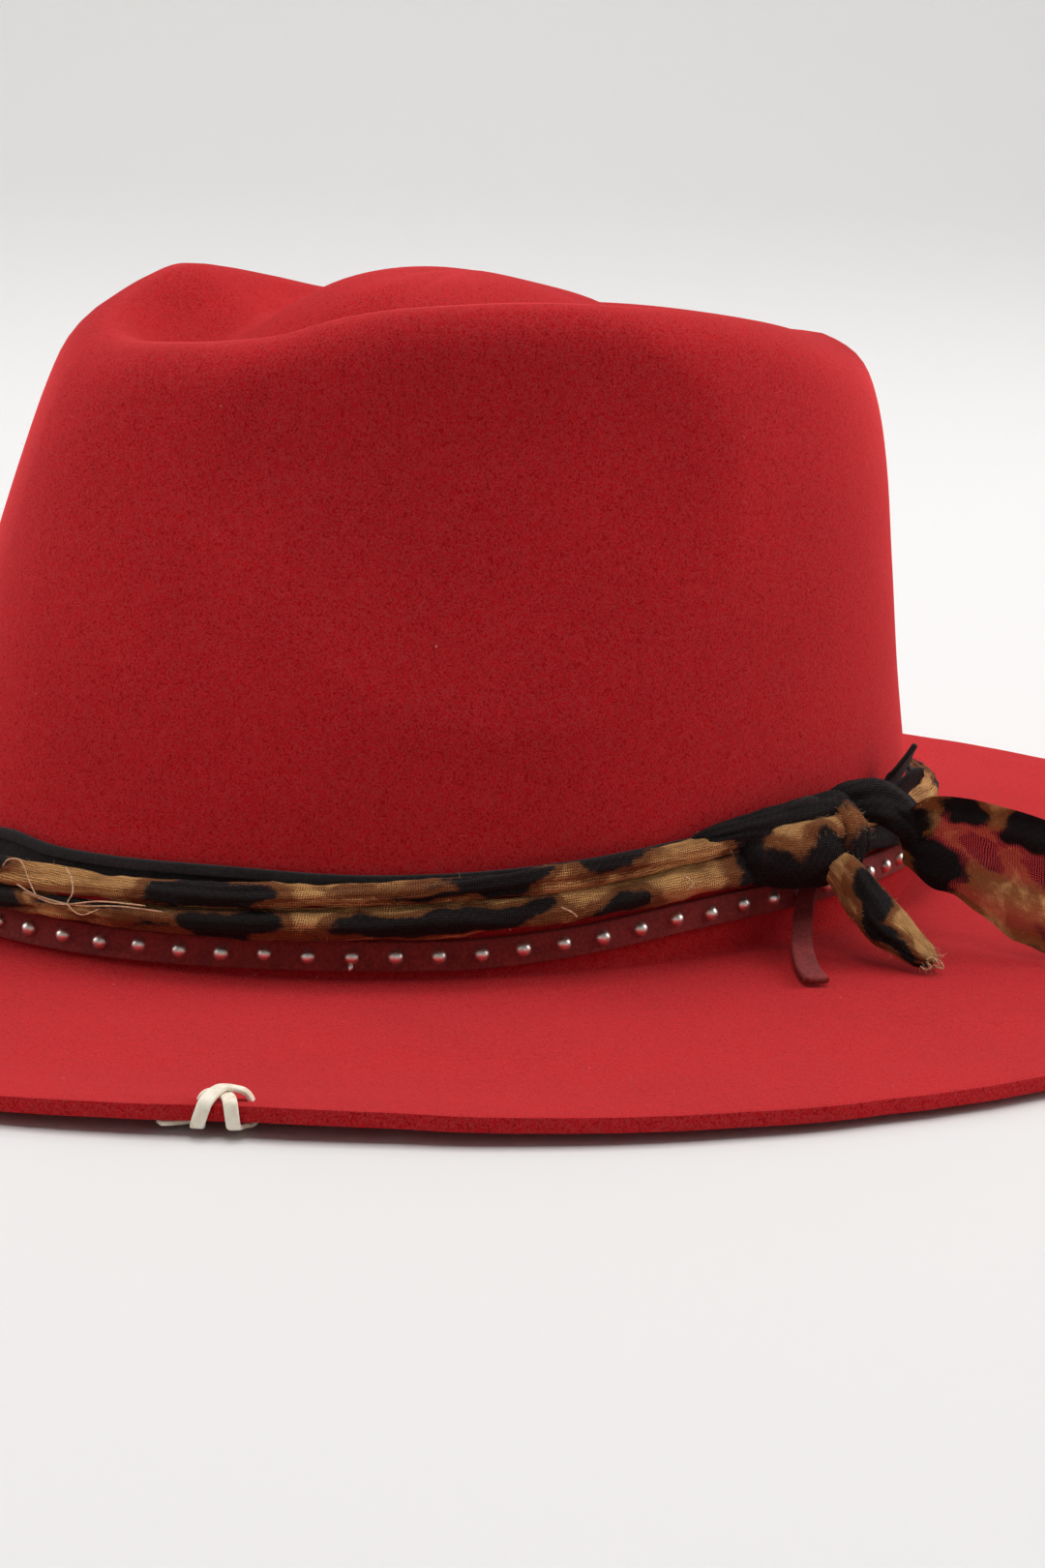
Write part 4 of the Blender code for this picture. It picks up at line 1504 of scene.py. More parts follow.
@dataclass
class BrimStitch:
    """The cream lace that crosses itself over the brim's edge."""

    turn: float = 59.0
    inset: float = 5.5
    spacing: float = 8.3
    width: float = 2.3
    thickness: float = 0.9
    gap: float = 0.3
    cream: CreamLeatherFinish = CreamLeatherFinish()

    def rows(self, edge: float, under: float) -> list[tuple[float, ...]]:
        """The lace's points: along, outward, height and facing.

        Args:
            edge: the height of the brim's lower edge in mm.
            under: the height of the felt's underside at the holes.

        Returns:
            One row for each point.
        """
        felt = FORM.felt
        clear = self.gap + self.thickness / 2
        over, below, low = under + felt + clear, under - clear, edge - clear
        hole, inset = self.spacing / 2, self.inset
        return [
            (-10.2, -1.2, low - 0.1, 0, 0, -1),
            (-7.6, -2.9, below + 0.1, 0, 0, -1),
            (-hole - 0.6, -inset + 0.3, below, 0, 0, -1),
            (-hole, -inset, under + 0.2, -1, 0, -0.3),
            (-hole, -inset, under + felt - 0.2, -1, 0, 0.3),
            (-hole + 1.0, -inset, over + 0.2, 0, 0, 1),
            (-hole + 2.6, -inset + 0.4, over + 0.6, 0, 0, 1),
            (0.0, -inset + 1.6, over + 0.5, 0, 0, 1),
            (1.0, -1.6, over + 0.5, 0, 0.5, 1),
            (1.5, 0.5, edge + felt + 0.5, 0, 1, 1),
            (1.8, clear + 0.1, edge + felt / 2, 0, 1, 0),
            (2.1, 0.4, low + 0.1, 0, 1, -1),
            (2.8, -2.4, below + 0.1, 0, 0, -1),
            (hole, -inset + 0.6, below, 0, 0, -1),
            (hole, -inset, under + 0.2, 1, 0, -0.3),
            (hole, -inset, under + felt - 0.2, 1, 0, 0.3),
            (hole - 1.0, -inset, over + 0.5, 0, 0, 1),
            (hole - 2.6, -inset + 0.2, over + 1.1, 0, 0, 1),
            (-0.4, -inset + 1.2, over + 1.5, 0, 0, 1),
            (-1.6, -2.2, over + 1.1, 0, 0.3, 1),
            (-2.5, 0.3, edge + felt + 0.5, 0, 1, 1),
            (-3.1, clear + 0.1, edge + felt / 2, 0, 1, 0),
            (-3.7, 0.4, low + 0.1, 0, 1, -1),
            (-3.6, -1.6, low - 0.1, 0, 0, -1),
        ]

    def build(self) -> None:
        """Makes the lace."""
        side = abs(self.turn)
        edge = FORM.brim(self.turn, 1.0)
        hole = FORM.brim(self.turn, 1.0 - self.inset / float(FORM.width.at(side)))
        outward = unit((edge - hole)[:2])
        along = np.array((-outward[1], outward[0]))
        rows = np.array(self.rows(float(edge[2]), float(hole[2])), float)
        axes = np.array(((along[0], along[1], 0.0), (outward[0], outward[1], 0.0), (0.0, 0.0, 1.0)))
        path = rows[:, :3] @ axes + np.array((edge[0], edge[1], 0.0))
        half = np.tile((self.width / 2, self.thickness / 2), (len(rows), 1))
        lace = Tube(path, rows[:, 3:] @ axes, half, 150, 16, square=0.5, cap=0.01)
        add_piece("cream_lace_cross", lace.build(), self.cream.material(), Slot.CREAM, (Node.STITCH,))


@dataclass
class ScarfRolls:
    """The leopard gauze scarf, twisted like a rope and laid twice round the crown."""

    columns: int = 900
    length: float = 650.0
    off: float = 0.5
    overlap: float = 0.05
    # The upper roll: how far off the felt its back lies, and how far its front stands back.
    lace_back: float = 2.3
    step: float = 0.8
    turns: ClassVar[tuple[float, ...]] = (
        -180.0, -90.0, 0.0, 25.0, 42.0, 56.0, 68.0, 88.0, 104.0, 113.0, 130.0, 144.0, 180.0
    )
    low: Curve = Curve(
        (-180.0, -90.0, 0.0, 25.0, 42.0, 68.0, 88.0, 104.0, 113.0, 130.0, 144.0, 180.0),
        (11.0, 10.8, 10.8, 10.8, 10.8, 11.0, 13.4, 16.0, 16.8, 16.4, 14.4, 11.0),
    )
    seam: Curve = Curve(
        turns,
        (16.6, 16.4, 15.6, 15.0, 15.4, 16.2, 17.2, 19.2, 22.2, 22.4, 21.4, 19.6, 16.6),
    )
    top: Curve = Curve(
        turns,
        (22.2, 22.0, 20.6, 19.9, 19.7, 20.5, 21.4, 24.4, 27.0, 27.4, 26.6, 24.8, 22.2),
    )
    thick: Curve = Curve(
        (-180.0, -90.0, 0.0, 25.0, 42.0, 68.0, 88.0, 104.0, 113.0, 130.0, 138.0, 148.0, 158.0, 180.0),
        (7.0, 7.4, 7.4, 7.4, 7.2, 7.4, 7.2, 6.6, 4.6, 5.0, 6.4, 7.2, 7.2, 7.0),
    )
    # Turn, angle in the section (0 faces outward, 90 up), half lengths of each, in degrees.
    upper_blotches: tuple[Blotch, ...] = (
        Blotch(49.2, 10.0, 6.4, 120.0, 4.0),
        Blotch(70.0, 40.0, 7.0, 130.0, 1.4, 1.5),
        Blotch(78.8, 40.0, 4.8, 95.0, 3.5),
        Blotch(74.0, -30.0, 4.5, 26.0, 2.5),
        Blotch(91.0, 66.0, 4.6, 62.0, 3.0),
        Blotch(108.6, 20.0, 3.6, 110.0, 3.5),
        Blotch(20.0, 60.0, 4.5, 60.0, 3.0),
    )
    lower_blotches: tuple[Blotch, ...] = (
        Blotch(23.5, 0.0, 4.2, 100.0, 3.5),
        Blotch(52.4, -10.0, 4.6, 90.0, 3.5),
        Blotch(73.0, -4.0, 10.0, 52.0, 4.0),
        Blotch(79.0, 12.0, 5.5, 40.0, 3.0),
        Blotch(92.0, -18.0, 3.4, 62.0, 3.0),
        Blotch(109.5, 0.0, 4.4, 100.0, 3.5),
        Blotch(36.0, 60.0, 5.0, 30.0, 2.5),
        Blotch(44.0, -20.0, 6.0, 90.0, 1.4, 1.5),
        Blotch(64.0, -60.0, 9.0, 50.0, 1.4, 1.5),
        Blotch(84.5, -30.0, 4.0, 70.0, 1.4, 1.6),
        Blotch(132.0, 20.0, 4.0, 90.0, 3.0),
    )
    # The spots on the far side: how many, the turn they start at, and over how many degrees they lie.
    hidden_blotches: int = 23
    hidden_start: float = 156.0
    hidden_reach: float = 218.0
    gauze: GauzeFinish = GauzeFinish("leopard_gauze_rolled")

    def lower_section(self, turn: Array) -> Section:
        """The lower roll at each turn."""
        thick, low, crest = self.thick.at(turn), self.low.at(turn), self.seam.at(turn) + self.overlap
        return (thick + self.off) / 2, (low + crest) / 2, (thick - self.off) / 2, (crest - low) / 2

    def upper_section(self, turn: Array) -> Section:
        """The upper roll.

        Args:
            turn: degrees round the crown.

        Returns:
            Its section at each turn.
        """
        front = self.thick.at(turn) - self.step
        low, crest = self.seam.at(turn) - self.overlap, self.top.at(turn)
        deep = (front - self.lace_back) / 2
        return (front + self.lace_back) / 2, (low + crest) / 2, deep, (crest - low) / 2

    def folds(self, seed: float, twist: float) -> Measure:
        """The relief of a twisted roll: sharp valleys that wind slowly round it.

        Args:
            seed: shifts the pattern.
            twist: how many degrees the folds wind for each degree of turn.

        Returns:
            The relief in mm, by turn and angle.
        """

        def relief(turn: Array, angle: Array) -> Array:
            """The folds and lumps at each place.

            Args:
                turn: degrees round the crown.
                angle: degrees round the roll.

            Returns:
                The relief in mm.
            """
            ring, rim = np.radians(turn), np.radians(angle)
            place = np.stack([np.cos(ring) * 40.0, np.sin(ring) * 40.0, np.full_like(ring, seed)], axis=-1)
            drift = lumps(place, 9.0, seed) * 60.0
            swell = lumps(place, 3.2, seed + 9.0)
            wind = np.radians(angle + turn * twist + drift)
            main = 1.0 - np.abs(np.sin(wind * 1.5)) ** 0.7
            fine = 1.0 - np.abs(np.sin(wind * 3.5 + 1.0)) ** 0.8
            across = np.cos(rim) * 3.0 + np.sin(rim)
            rumpled = np.stack([np.cos(ring) * 70.0, np.sin(ring) * 70.0, across], axis=-1)
            return -0.75 * main - 0.32 * fine + 0.34 * swell + 0.30 * lumps(rumpled, 2.6, seed + 3.0)

        return relief

    def print_of(self, blotches: Sequence[Blotch], seed: int) -> Measure:
        """The dark spots of one roll.

        Args:
            blotches: those that the photograph shows.
            seed: for those on the far side.

        Returns:
            How deep inside a spot each place lies, by turn and angle.
        """
        chance = random.Random(seed)
        spots = list(blotches)
        for number in range(self.hidden_blotches):
            share = number + chance.uniform(0.15, 0.85)
            turn = self.hidden_start + share * (self.hidden_reach / self.hidden_blotches)
            angle = chance.choice((-25.0, 20.0, 60.0)) + chance.uniform(-20.0, 20.0)
            spots.append(Blotch(turn % 360.0, angle, chance.uniform(2.4, 5.2), chance.uniform(40.0, 105.0)))

        def depth(turn: Array, angle: Array) -> Array:
            """How deep inside a spot each place lies, with the spot's rim bent and tilted.

            Args:
                turn: degrees round the crown.
                angle: degrees round the roll.

            Returns:
                About mm inside, and below 0 outside.
            """
            bent = turn + 0.9 * np.sin(np.radians(2.0 * angle + 23.0 * turn))
            tilted = angle + 12.0 * np.sin(np.radians(37.0 * turn)) + 4.0 * np.sin(np.radians(97.0 * turn))
            return printed(bent, tilted, spots, (360.0, 360.0))

        return depth

    def build(self) -> None:
        """Makes both rolls."""
        gauze = self.gauze.material()
        for name, section, around, folds, spots in (
            (
                "scarf_roll_lower", self.lower_section, 44,
                self.folds(2.0, 0.8), self.print_of(self.lower_blotches, 5),
            ),
            (
                "scarf_roll_upper", self.upper_section, 40,
                self.folds(5.0, -1.1), self.print_of(self.upper_blotches, 8),
            ),
        ):
            roll = Loop(section, self.columns, around, self.length, relief=folds, paint=spots)
            add_piece(name, roll.build(), gauze, Slot.GAUZE, (Node.SCARF,), 80.0)


@dataclass
class ScarfKnot:
    """The knot of the scarf: four wraps of gauze, and the short rolled end that hangs from it."""

    columns: int = 90
    around: int = 56
    cap: float = 0.12
    fold_depth: float = 0.7
    # Turn, out, height, half width and half depth in mm.
    left_rows: Rows = (
        (106.4, 3.4, 21.6, 4.4, 2.8),
        (109.6, 4.6, 21.4, 5.6, 3.4),
        (113.0, 6.4, 21.0, 6.6, 4.0),
        (116.6, 8.0, 21.4, 6.8, 4.2),
        (119.6, 8.0, 22.6, 5.8, 3.6),
        (122.4, 6.0, 23.0, 3.6, 2.4),
    )
    top_rows: Rows = (
        (100.4, 3.2, 25.4, 1.3, 1.2),
        (104.0, 3.8, 26.4, 2.1, 1.8),
        (108.0, 4.2, 27.1, 2.7, 2.2),
        (112.0, 4.8, 27.6, 3.0, 2.4),
        (116.0, 5.6, 28.0, 3.4, 2.6),
        (119.6, 6.4, 28.4, 3.4, 2.6),
        (123.0, 6.2, 28.2, 2.6, 2.0),
    )
    arch_rows: Rows = (
        (120.6, 3.0, 17.6, 2.4, 2.2),
        (119.6, 8.4, 18.4, 3.4, 2.6),
        (119.0, 11.4, 22.0, 3.8, 2.8),
        (119.4, 10.4, 26.2, 3.8, 2.6),
        (120.6, 6.6, 28.2, 3.4, 2.2),
        (122.4, 3.0, 27.6, 2.4, 1.6),
    )
    right_rows: Rows = (
        (121.0, 2.6, 26.4, 2.8, 2.0),
        (122.6, 5.6, 28.6, 4.4, 2.4),
        (124.8, 9.4, 28.8, 5.4, 2.8),
        (127.0, 12.0, 26.4, 5.6, 2.9),
        (128.8, 13.0, 22.4, 5.0, 2.6),
        (129.6, 12.4, 18.2, 3.6, 2.0),
        (129.4, 11.4, 15.4, 2.2, 1.3),
    )
    tail_rows: Rows = (
        (116.4, 8.6, 20.6, 2.6, 2.4),
        (117.2, 12.6, 17.4, 4.0, 3.6),
        (117.8, 16.6, 12.8, 4.9, 4.0),
        (118.1, 20.6, 9.3, 5.3, 3.9),
        (118.1, 24.8, 7.0, 4.2, 3.0),
        (118.0, 28.2, 5.7, 3.5, 2.4),
        (117.9, 31.2, 4.8, 2.9, 1.8),
    )
    # The dark spots of the wraps and the tail, by share along each and angle round it.
    left_blotches: tuple[Blotch, ...] = (
        Blotch(0.6, 30.0, 0.62, 92.0, 4.0),
        Blotch(0.0, 90.0, 0.16, 200.0),
        Blotch(1.0, 90.0, 0.2, 200.0),
    )
    arch_blotches: tuple[Blotch, ...] = (Blotch(0.25, 90.0, 0.3, 120.0), Blotch(0.9, 90.0, 0.25, 120.0))
    all_dark: tuple[Blotch, ...] = (Blotch(0.5, 90.0, 0.9, 150.0, 5.0),)
    tail_blotches: tuple[Blotch, ...] = (
        Blotch(0.40, 66.0, 0.20, 50.0, 3.5),
        Blotch(0.62, 22.0, 0.18, 32.0, 3.0),
        Blotch(0.82, 2.0, 0.15, 28.0, 2.6),
        Blotch(0.96, 312.0, 0.08, 50.0, 2.4),
    )
    gauze: GauzeFinish = GauzeFinish("leopard_gauze_knot", pitch=0.37, tan=(0.98, 0.56, 0.205), hollow=0.6)

    def folds(self, seed: float) -> Measure:
        """The lengthwise folds of a wrap.

        Args:
            seed: shifts the pattern.

        Returns:
            The relief in mm, by share along the wrap and angle round it.
        """

        def relief(share: Array, angle: Array) -> Array:
            """The folds and lumps at each place.

            Args:
                share: shares of the way along the wrap.
                angle: degrees round it.

            Returns:
                The relief in mm.
            """
            rim = np.radians(angle)
            place = np.stack([share * 12.0, np.cos(rim) * 4.0, np.sin(rim) * 4.0], axis=-1)
            drift = lumps(place, 7.0, seed) * 1.4
            fold = 1.0 - np.abs(np.sin(rim * 2.0 + share * 3.0 + drift + seed)) ** 0.7
            fine = 1.0 - np.abs(np.sin(rim * 5.0 - share * 2.0 + drift * 2.0)) ** 0.8
            return -self.fold_depth * (0.9 * fold + 0.35 * fine) + 0.45 * lumps(place, 1.8, seed + 5.0)

        return relief

    def wrap(
        self, rows: Rows, facing: Array, seed: float, blotches: Sequence[Blotch]
    ) -> bmesh.types.BMesh:
        """One wrap of the knot.

        Args:
            rows: its path.
            facing: the way its broad side faces at each row.
            seed: shifts its folds.
            blotches: its dark spots.

        Returns:
            Its mesh.
        """
        half = np.array([row[3:] for row in rows])

        def paint(share: Array, angle: Array) -> Array:
            """How deep inside a spot, with its rim bent."""
            bent = share + 0.025 * np.sin(np.radians(3.0 * angle + 900.0 * share))
            return printed(bent, angle + 14.0 * np.sin(share * 17.0 + seed), blotches, (9.0, 360.0))

        tube = Tube(
            beside_path(rows), facing, half, self.columns, self.around,
            cap=self.cap, relief=self.folds(seed), paint=paint,
        )
        return tube.build()

    def build(self) -> None:
        """Makes the wraps and the short tail."""
        gauze = self.gauze.material()
        for name, rows, (out, up), seed, blotches, node in (
            ("knot_wrap_left", self.left_rows, (1.0, 0.0), 1.0, self.left_blotches, Node.KNOT),
            ("knot_wrap_top", self.top_rows, (1.0, 0.8), 6.0, self.all_dark, Node.KNOT),
            ("knot_wrap_arch", self.arch_rows, (1.0, 0.8), 2.0, self.arch_blotches, Node.KNOT),
            ("knot_wrap_right", self.right_rows, (1.0, 0.8), 3.0, self.all_dark, Node.KNOT),
            ("scarf_tail_rolled", self.tail_rows, (0.0, 1.0), 4.0, self.tail_blotches, Node.SHORT_TAIL),
        ):
            facing = outward_at(rows) * out + upward(rows) * up
            add_piece(name, self.wrap(rows, facing, seed, blotches), gauze, Slot.GAUZE, (node,), 80.0)


@dataclass
class SheerTail:
    """The wide sheer end: a single layer that fans out from the knot and stands on its lower edge."""

    start: tuple[float, float] = (78.9, 68.5)
    heading: float = 36.0
    length: float = 58.0
    foot: float = 2.9
    # By mm along the tail: the heights of both edges, how far the lower one leans out, and the folds.
    steps: ClassVar[tuple[float, ...]] = (0.0, 6.0, 12.0, 18.0, 25.0, 36.0, 48.0, 58.0)
    high: Curve = Curve(
        (0.0, 3.0, 6.0, 12.0, 18.0, 25.0, 36.0, 48.0, 58.0),
        (26.0, 29.2, 30.6, 30.6, 29.6, 28.0, 24.4, 18.0, 10.4),
    )
    low: Curve = Curve(steps, (16.4, 12.8, 11.0, 7.6, 4.6, 3.7, 3.6, 3.5))
    lean: Curve = Curve(steps, (0.0, 0.4, 1.6, 4.4, 7.6, 11.0, 14.0, 17.0))
    wave: Curve = Curve(steps, (0.6, 1.2, 1.6, 2.0, 2.4, 2.4, 2.0, 1.4))
    columns: int = 190
    rows: int = 120
    flat_size: tuple[float, float] = (0.060, 0.025)
    # Along the tail in mm, share of its height from the top edge down, and half lengths of each.
    blotches: tuple[Blotch, ...] = (
        Blotch(6.4, 0.76, 5.4, 0.34, 3.5),
        Blotch(0.4, 0.25, 4.4, 0.34, 3.0),
        Blotch(11.0, 0.15, 4.2, 0.17, 3.0),
        Blotch(24.5, 0.16, 7.0, 0.18, 3.4),
        Blotch(15.0, 0.46, 3.4, 0.14, 1.8),
        Blotch(26.5, 0.42, 4.4, 0.11, 1.6),
        Blotch(36.0, 0.60, 5.0, 0.13, 3.0),
        Blotch(43.0, 0.20, 5.0, 0.12, 3.0),
        Blotch(51.0, 0.62, 4.0, 0.14, 3.0),
        Blotch(34.0, 0.92, 30.0, 0.42, 1.6, 1.7),
    )
    gauze: GauzeFinish = GauzeFinish("leopard_gauze_sheer", 0.86, 0.47, tan=(0.95, 0.52, 0.19), hollow=0.2)

    def place(self, u: Array, v: Array) -> Array:
        """Bends the grid to the tail.

        Args:
            u: shares of the way along the tail.
            v: shares of the way from its top edge down.

        Returns:
            Points in mm.
        """
        along = u * self.length
        heading = math.radians(self.heading)
        ahead = np.array((math.sin(heading), math.cos(heading)))
        outward = np.array((ahead[1], -ahead[0]))
        high, low = self.high.at(along), self.low.at(along)
        pleat = np.sin(v * 21.0 + 2.6 * np.sin(u * 3.1) + 1.0) * np.exp(-u * 2.4) * 0.55
        pleat += np.sin(v * 11.0 + 3.0 * u + 0.7 * np.sin(u * 9.0)) * 0.35
        hem = np.exp(-((v / 0.06) ** 2)) * 0.8
        fold = self.wave.at(along) * np.sin(3 * math.pi * v) * np.sin(math.pi * v)
        tuck = -2.4 * np.exp(-along / 3.0)
        out = self.lean.at(along) * v**1.5 + fold + pleat + hem + tuck
        ragged = 0.5 * np.sin(u * 47.0) * v**6 + 0.4 * np.sin(v * 39.0) * u**8
        flat = np.array(self.start) + np.outer(along, ahead) + np.outer(out, outward)
        height = high + (low - high) * v + ragged * 0.5
        return np.column_stack([flat, np.maximum(height, self.foot)])

    def spots(self, u: Array, v: Array, blotches: Sequence[Blotch]) -> Array:
        """How deep inside a spot each place lies, with the spot's rim ragged.

        Args:
            u: shares of the way along the tail.
            v: shares of the way from its top edge down.
            blotches: the spots.

        Returns:
            About mm inside, and below 0 outside.
        """
        along = u * self.length + 1.1 * np.sin(v * 13.0 + u * 11.0) + 0.5 * np.sin(v * 31.0)
        down = v + 0.030 * np.sin(u * 33.0 + 1.0) + 0.016 * np.sin(u * 71.0)
        return printed(along, down, blotches, (900.0, 9.0))

    def paint(self, u: Array, v: Array) -> Array:
        """The dark spots of the tail."""
        return self.spots(u, v, self.blotches)

    def layers(self, u: Array, v: Array) -> Array:
        """How closely the layers of gauze lie.

        Args:
            u: shares of the way along the tail.
            v: shares of the way from its top edge down.

        Returns:
            1 at the gathered start, at the top hem and in the first dark spots, and less elsewhere.
        """
        hem = np.clip(1.5 - v / 0.22, 0.0, 1.0)
        start = np.clip(1.4 - u / 0.11, 0.0, 1.0)
        foot = np.clip((v - 0.86) / 0.10, 0.0, 1.0) * 0.75
        lower = np.clip((v - 0.40) / 0.22, 0.0, 1.0) * (0.56 + 0.16 * np.sin(v * 17.0 + u * 9.0))
        blotch = self.spots(u, v, self.blotches[:4])
        return np.maximum.reduce([hem, start, foot, lower, blotch, np.full_like(v, 0.26)])

    def build(self) -> None:
        paints = {"print": self.paint, "layers": self.layers}
        bm = Skin(self.columns, self.rows, self.place, (self.length, 30.0), paints).build()
        tail = add_piece("scarf_tail_sheer", bm, self.gauze.material(), Slot.GAUZE, (Node.WIDE_TAIL,), 180.0)


@dataclass
class LooseThreads:
    """Single threads that have come out of the gauze, and the fuzz on it and on the felt."""

    radius: float = 0.15
    # Turn, out and height of each thread's points.
    strands: tuple[Rows, ...] = (
        ((24.6, 6.6, 18.4), (25.8, 7.6, 20.2), (27.6, 7.8, 20.4), (29.6, 8.0, 17.2), (31.2, 8.2, 14.8)),
        (
            (33.0, 6.4, 20.4), (34.6, 7.6, 18.8), (35.4, 8.4, 16.6),
            (35.2, 8.6, 14.8), (37.0, 8.4, 13.2), (39.0, 8.2, 14.6),
        ),
        ((27.6, 7.6, 16.4), (31.0, 8.2, 15.2), (36.0, 8.2, 14.6), (41.0, 8.2, 15.4), (46.0, 8.0, 15.2)),
        ((29.0, 7.9, 15.4), (34.0, 8.4, 14.4), (38.6, 8.2, 15.8), (44.0, 8.2, 16.0)),
        ((85.4, 7.6, 17.0), (86.4, 8.6, 16.2), (87.0, 8.2, 15.2)),
        ((98.4, 7.4, 21.0), (99.2, 8.4, 19.4), (98.6, 8.2, 18.2)),
        ((117.2, 30.2, 5.2), (117.4, 32.0, 6.0), (117.7, 32.6, 4.6), (117.8, 30.6, 4.2)),
        ((118.2, 29.8, 5.4), (118.4, 31.6, 5.0), (118.3, 32.4, 3.9), (118.0, 30.4, 3.9)),
        ((117.0, 29.4, 4.2), (116.8, 31.0, 3.9), (117.1, 31.8, 4.4), (117.3, 30.2, 5.2)),
    )
    fray_count: int = 46
    # The cut tip of the short end, and a place behind it.
    fray_path: Rows = ((117.9, 31.0, 4.9), (117.9, 28.0, 6.0))
    fray_reach: float = 2.2
    # Hairs on each fuzzy piece, and on the felt before the low ones are left out.
    tan_fuzz: int = 210
    black_fuzz: int = 230
    felt_fuzz: int = 1500
    # Length, thickness and bend of each kind of hair.
    gauze_hair: tuple[float, float, float] = (0.95, 0.07, 0.6)
    fray_hair: tuple[float, float, float] = (2.1, 0.11, 1.3)
    lint_hair: tuple[float, float, float] = (1.5, 0.05, 1.2)
    lint_clear: float = 1.6
    fuzzy: tuple[str, ...] = (
        "scarf_roll_lower", "scarf_roll_upper", "knot_wrap_left", "knot_wrap_top",
        "knot_wrap_arch", "knot_wrap_right", "scarf_tail_rolled", "scarf_tail_sheer",
    )
    tan: ThreadFinish = ThreadFinish("loose_tan_thread", (0.78, 0.52, 0.29))
    black: ThreadFinish = ThreadFinish("loose_black_thread", (0.02, 0.015, 0.016))
    red: ThreadFinish = ThreadFinish("loose_felt_fibre", (0.80, 0.24, 0.23))

    def fuzz(self, dark: bool, count: int) -> bmesh.types.BMesh:
        """Short hairs on all of the gauze.

        Args:
            dark: whether they grow where its print is dark or where it is tan.
            count: how many on each piece.

        Returns:
            One mesh of all of them.
        """
        places = []
        for number, name in enumerate(self.fuzzy):
            places += sprout(bpy.data.objects[name], count, 0.7, SEED + number, dark)
        return scatter(hair_mesh(*self.gauze_hair), places)

    def fray(self, count: int, seed: int) -> bmesh.types.BMesh:
        """The frayed cut of the short end: curled thread ends all round its tip.

        Args:
            count: how many thread ends.
            seed: shifts the pattern.

        Returns:
            One mesh of all of them.
        """
        chance = random.Random(seed)
        tip, back = (Vector(point) * MM for point in beside_path(self.fray_path))
        ahead = (tip - back).normalized()
        places = []
        for _ in range(count):
            aside = Vector((chance.uniform(-1.0, 1.0), chance.uniform(-1.0, 1.0), chance.uniform(-0.9, 0.9)))
            aside -= ahead * aside.dot(ahead)
            spot = tip + aside * self.fray_reach * MM - ahead * chance.uniform(0.0, 1.6) * MM
            turned = standing(ahead + aside * 0.7)
            spun = Matrix.Rotation(chance.uniform(0.0, math.tau), 4, "Z")
            sized = Matrix.Scale(chance.uniform(0.5, 1.1), 4)
            places.append(Matrix.Translation(spot) @ turned @ spun @ sized)
        return scatter(hair_mesh(*self.fray_hair), places)

    def lint(self) -> bmesh.types.BMesh:
        """Loose fibres on the felt's outer side, where they stand clear of the floor.

        Returns:
            One mesh of all of them.
        """
        tip = Vector((0.0, 0.0, self.lint_hair[0] * MM))
        places = sprout(bpy.data.objects["felt_shell"], self.felt_fuzz, 1.6, SEED)
        lifts = [place.col[2].to_3d().normalized() * FORM.felt * MM for place in places]
        lifted = [Matrix.Translation(lift) @ place for lift, place in zip(lifts, places)]
        clear = [place for place in lifted if (place @ tip).z > self.lint_clear * MM]
        return scatter(hair_mesh(*self.lint_hair), clear)

    def build(self) -> None:
        """Makes the threads and the fuzz."""
        tan, black = self.tan.material(), self.black.material()
        parts = []
        for strand in self.strands:
            half = np.full((len(strand), 2), self.radius)
            parts.append(Tube(beside_path(strand), upward(strand), half, 30, 6, cap=0.02).build())
        for name, shape, finish, slot, node in (
            ("loose_threads", gather(parts), tan, Slot.GAUZE, Node.SCARF),
            ("tail_fray_tan", self.fray(self.fray_count, 3), tan, Slot.GAUZE, Node.SHORT_TAIL),
            ("tail_fray_black", self.fray(self.fray_count // 3, 4), black, Slot.GAUZE, Node.SHORT_TAIL),
            ("gauze_fuzz_tan", self.fuzz(False, self.tan_fuzz), tan, Slot.GAUZE, Node.SCARF),
            ("gauze_fuzz_black", self.fuzz(True, self.black_fuzz), black, Slot.GAUZE, Node.SCARF),
            ("felt_lint", self.lint(), self.red.material(), Slot.FELT, Node.FELT),
        ):
            add_piece(name, shape, finish, slot, (node,))


# Studio


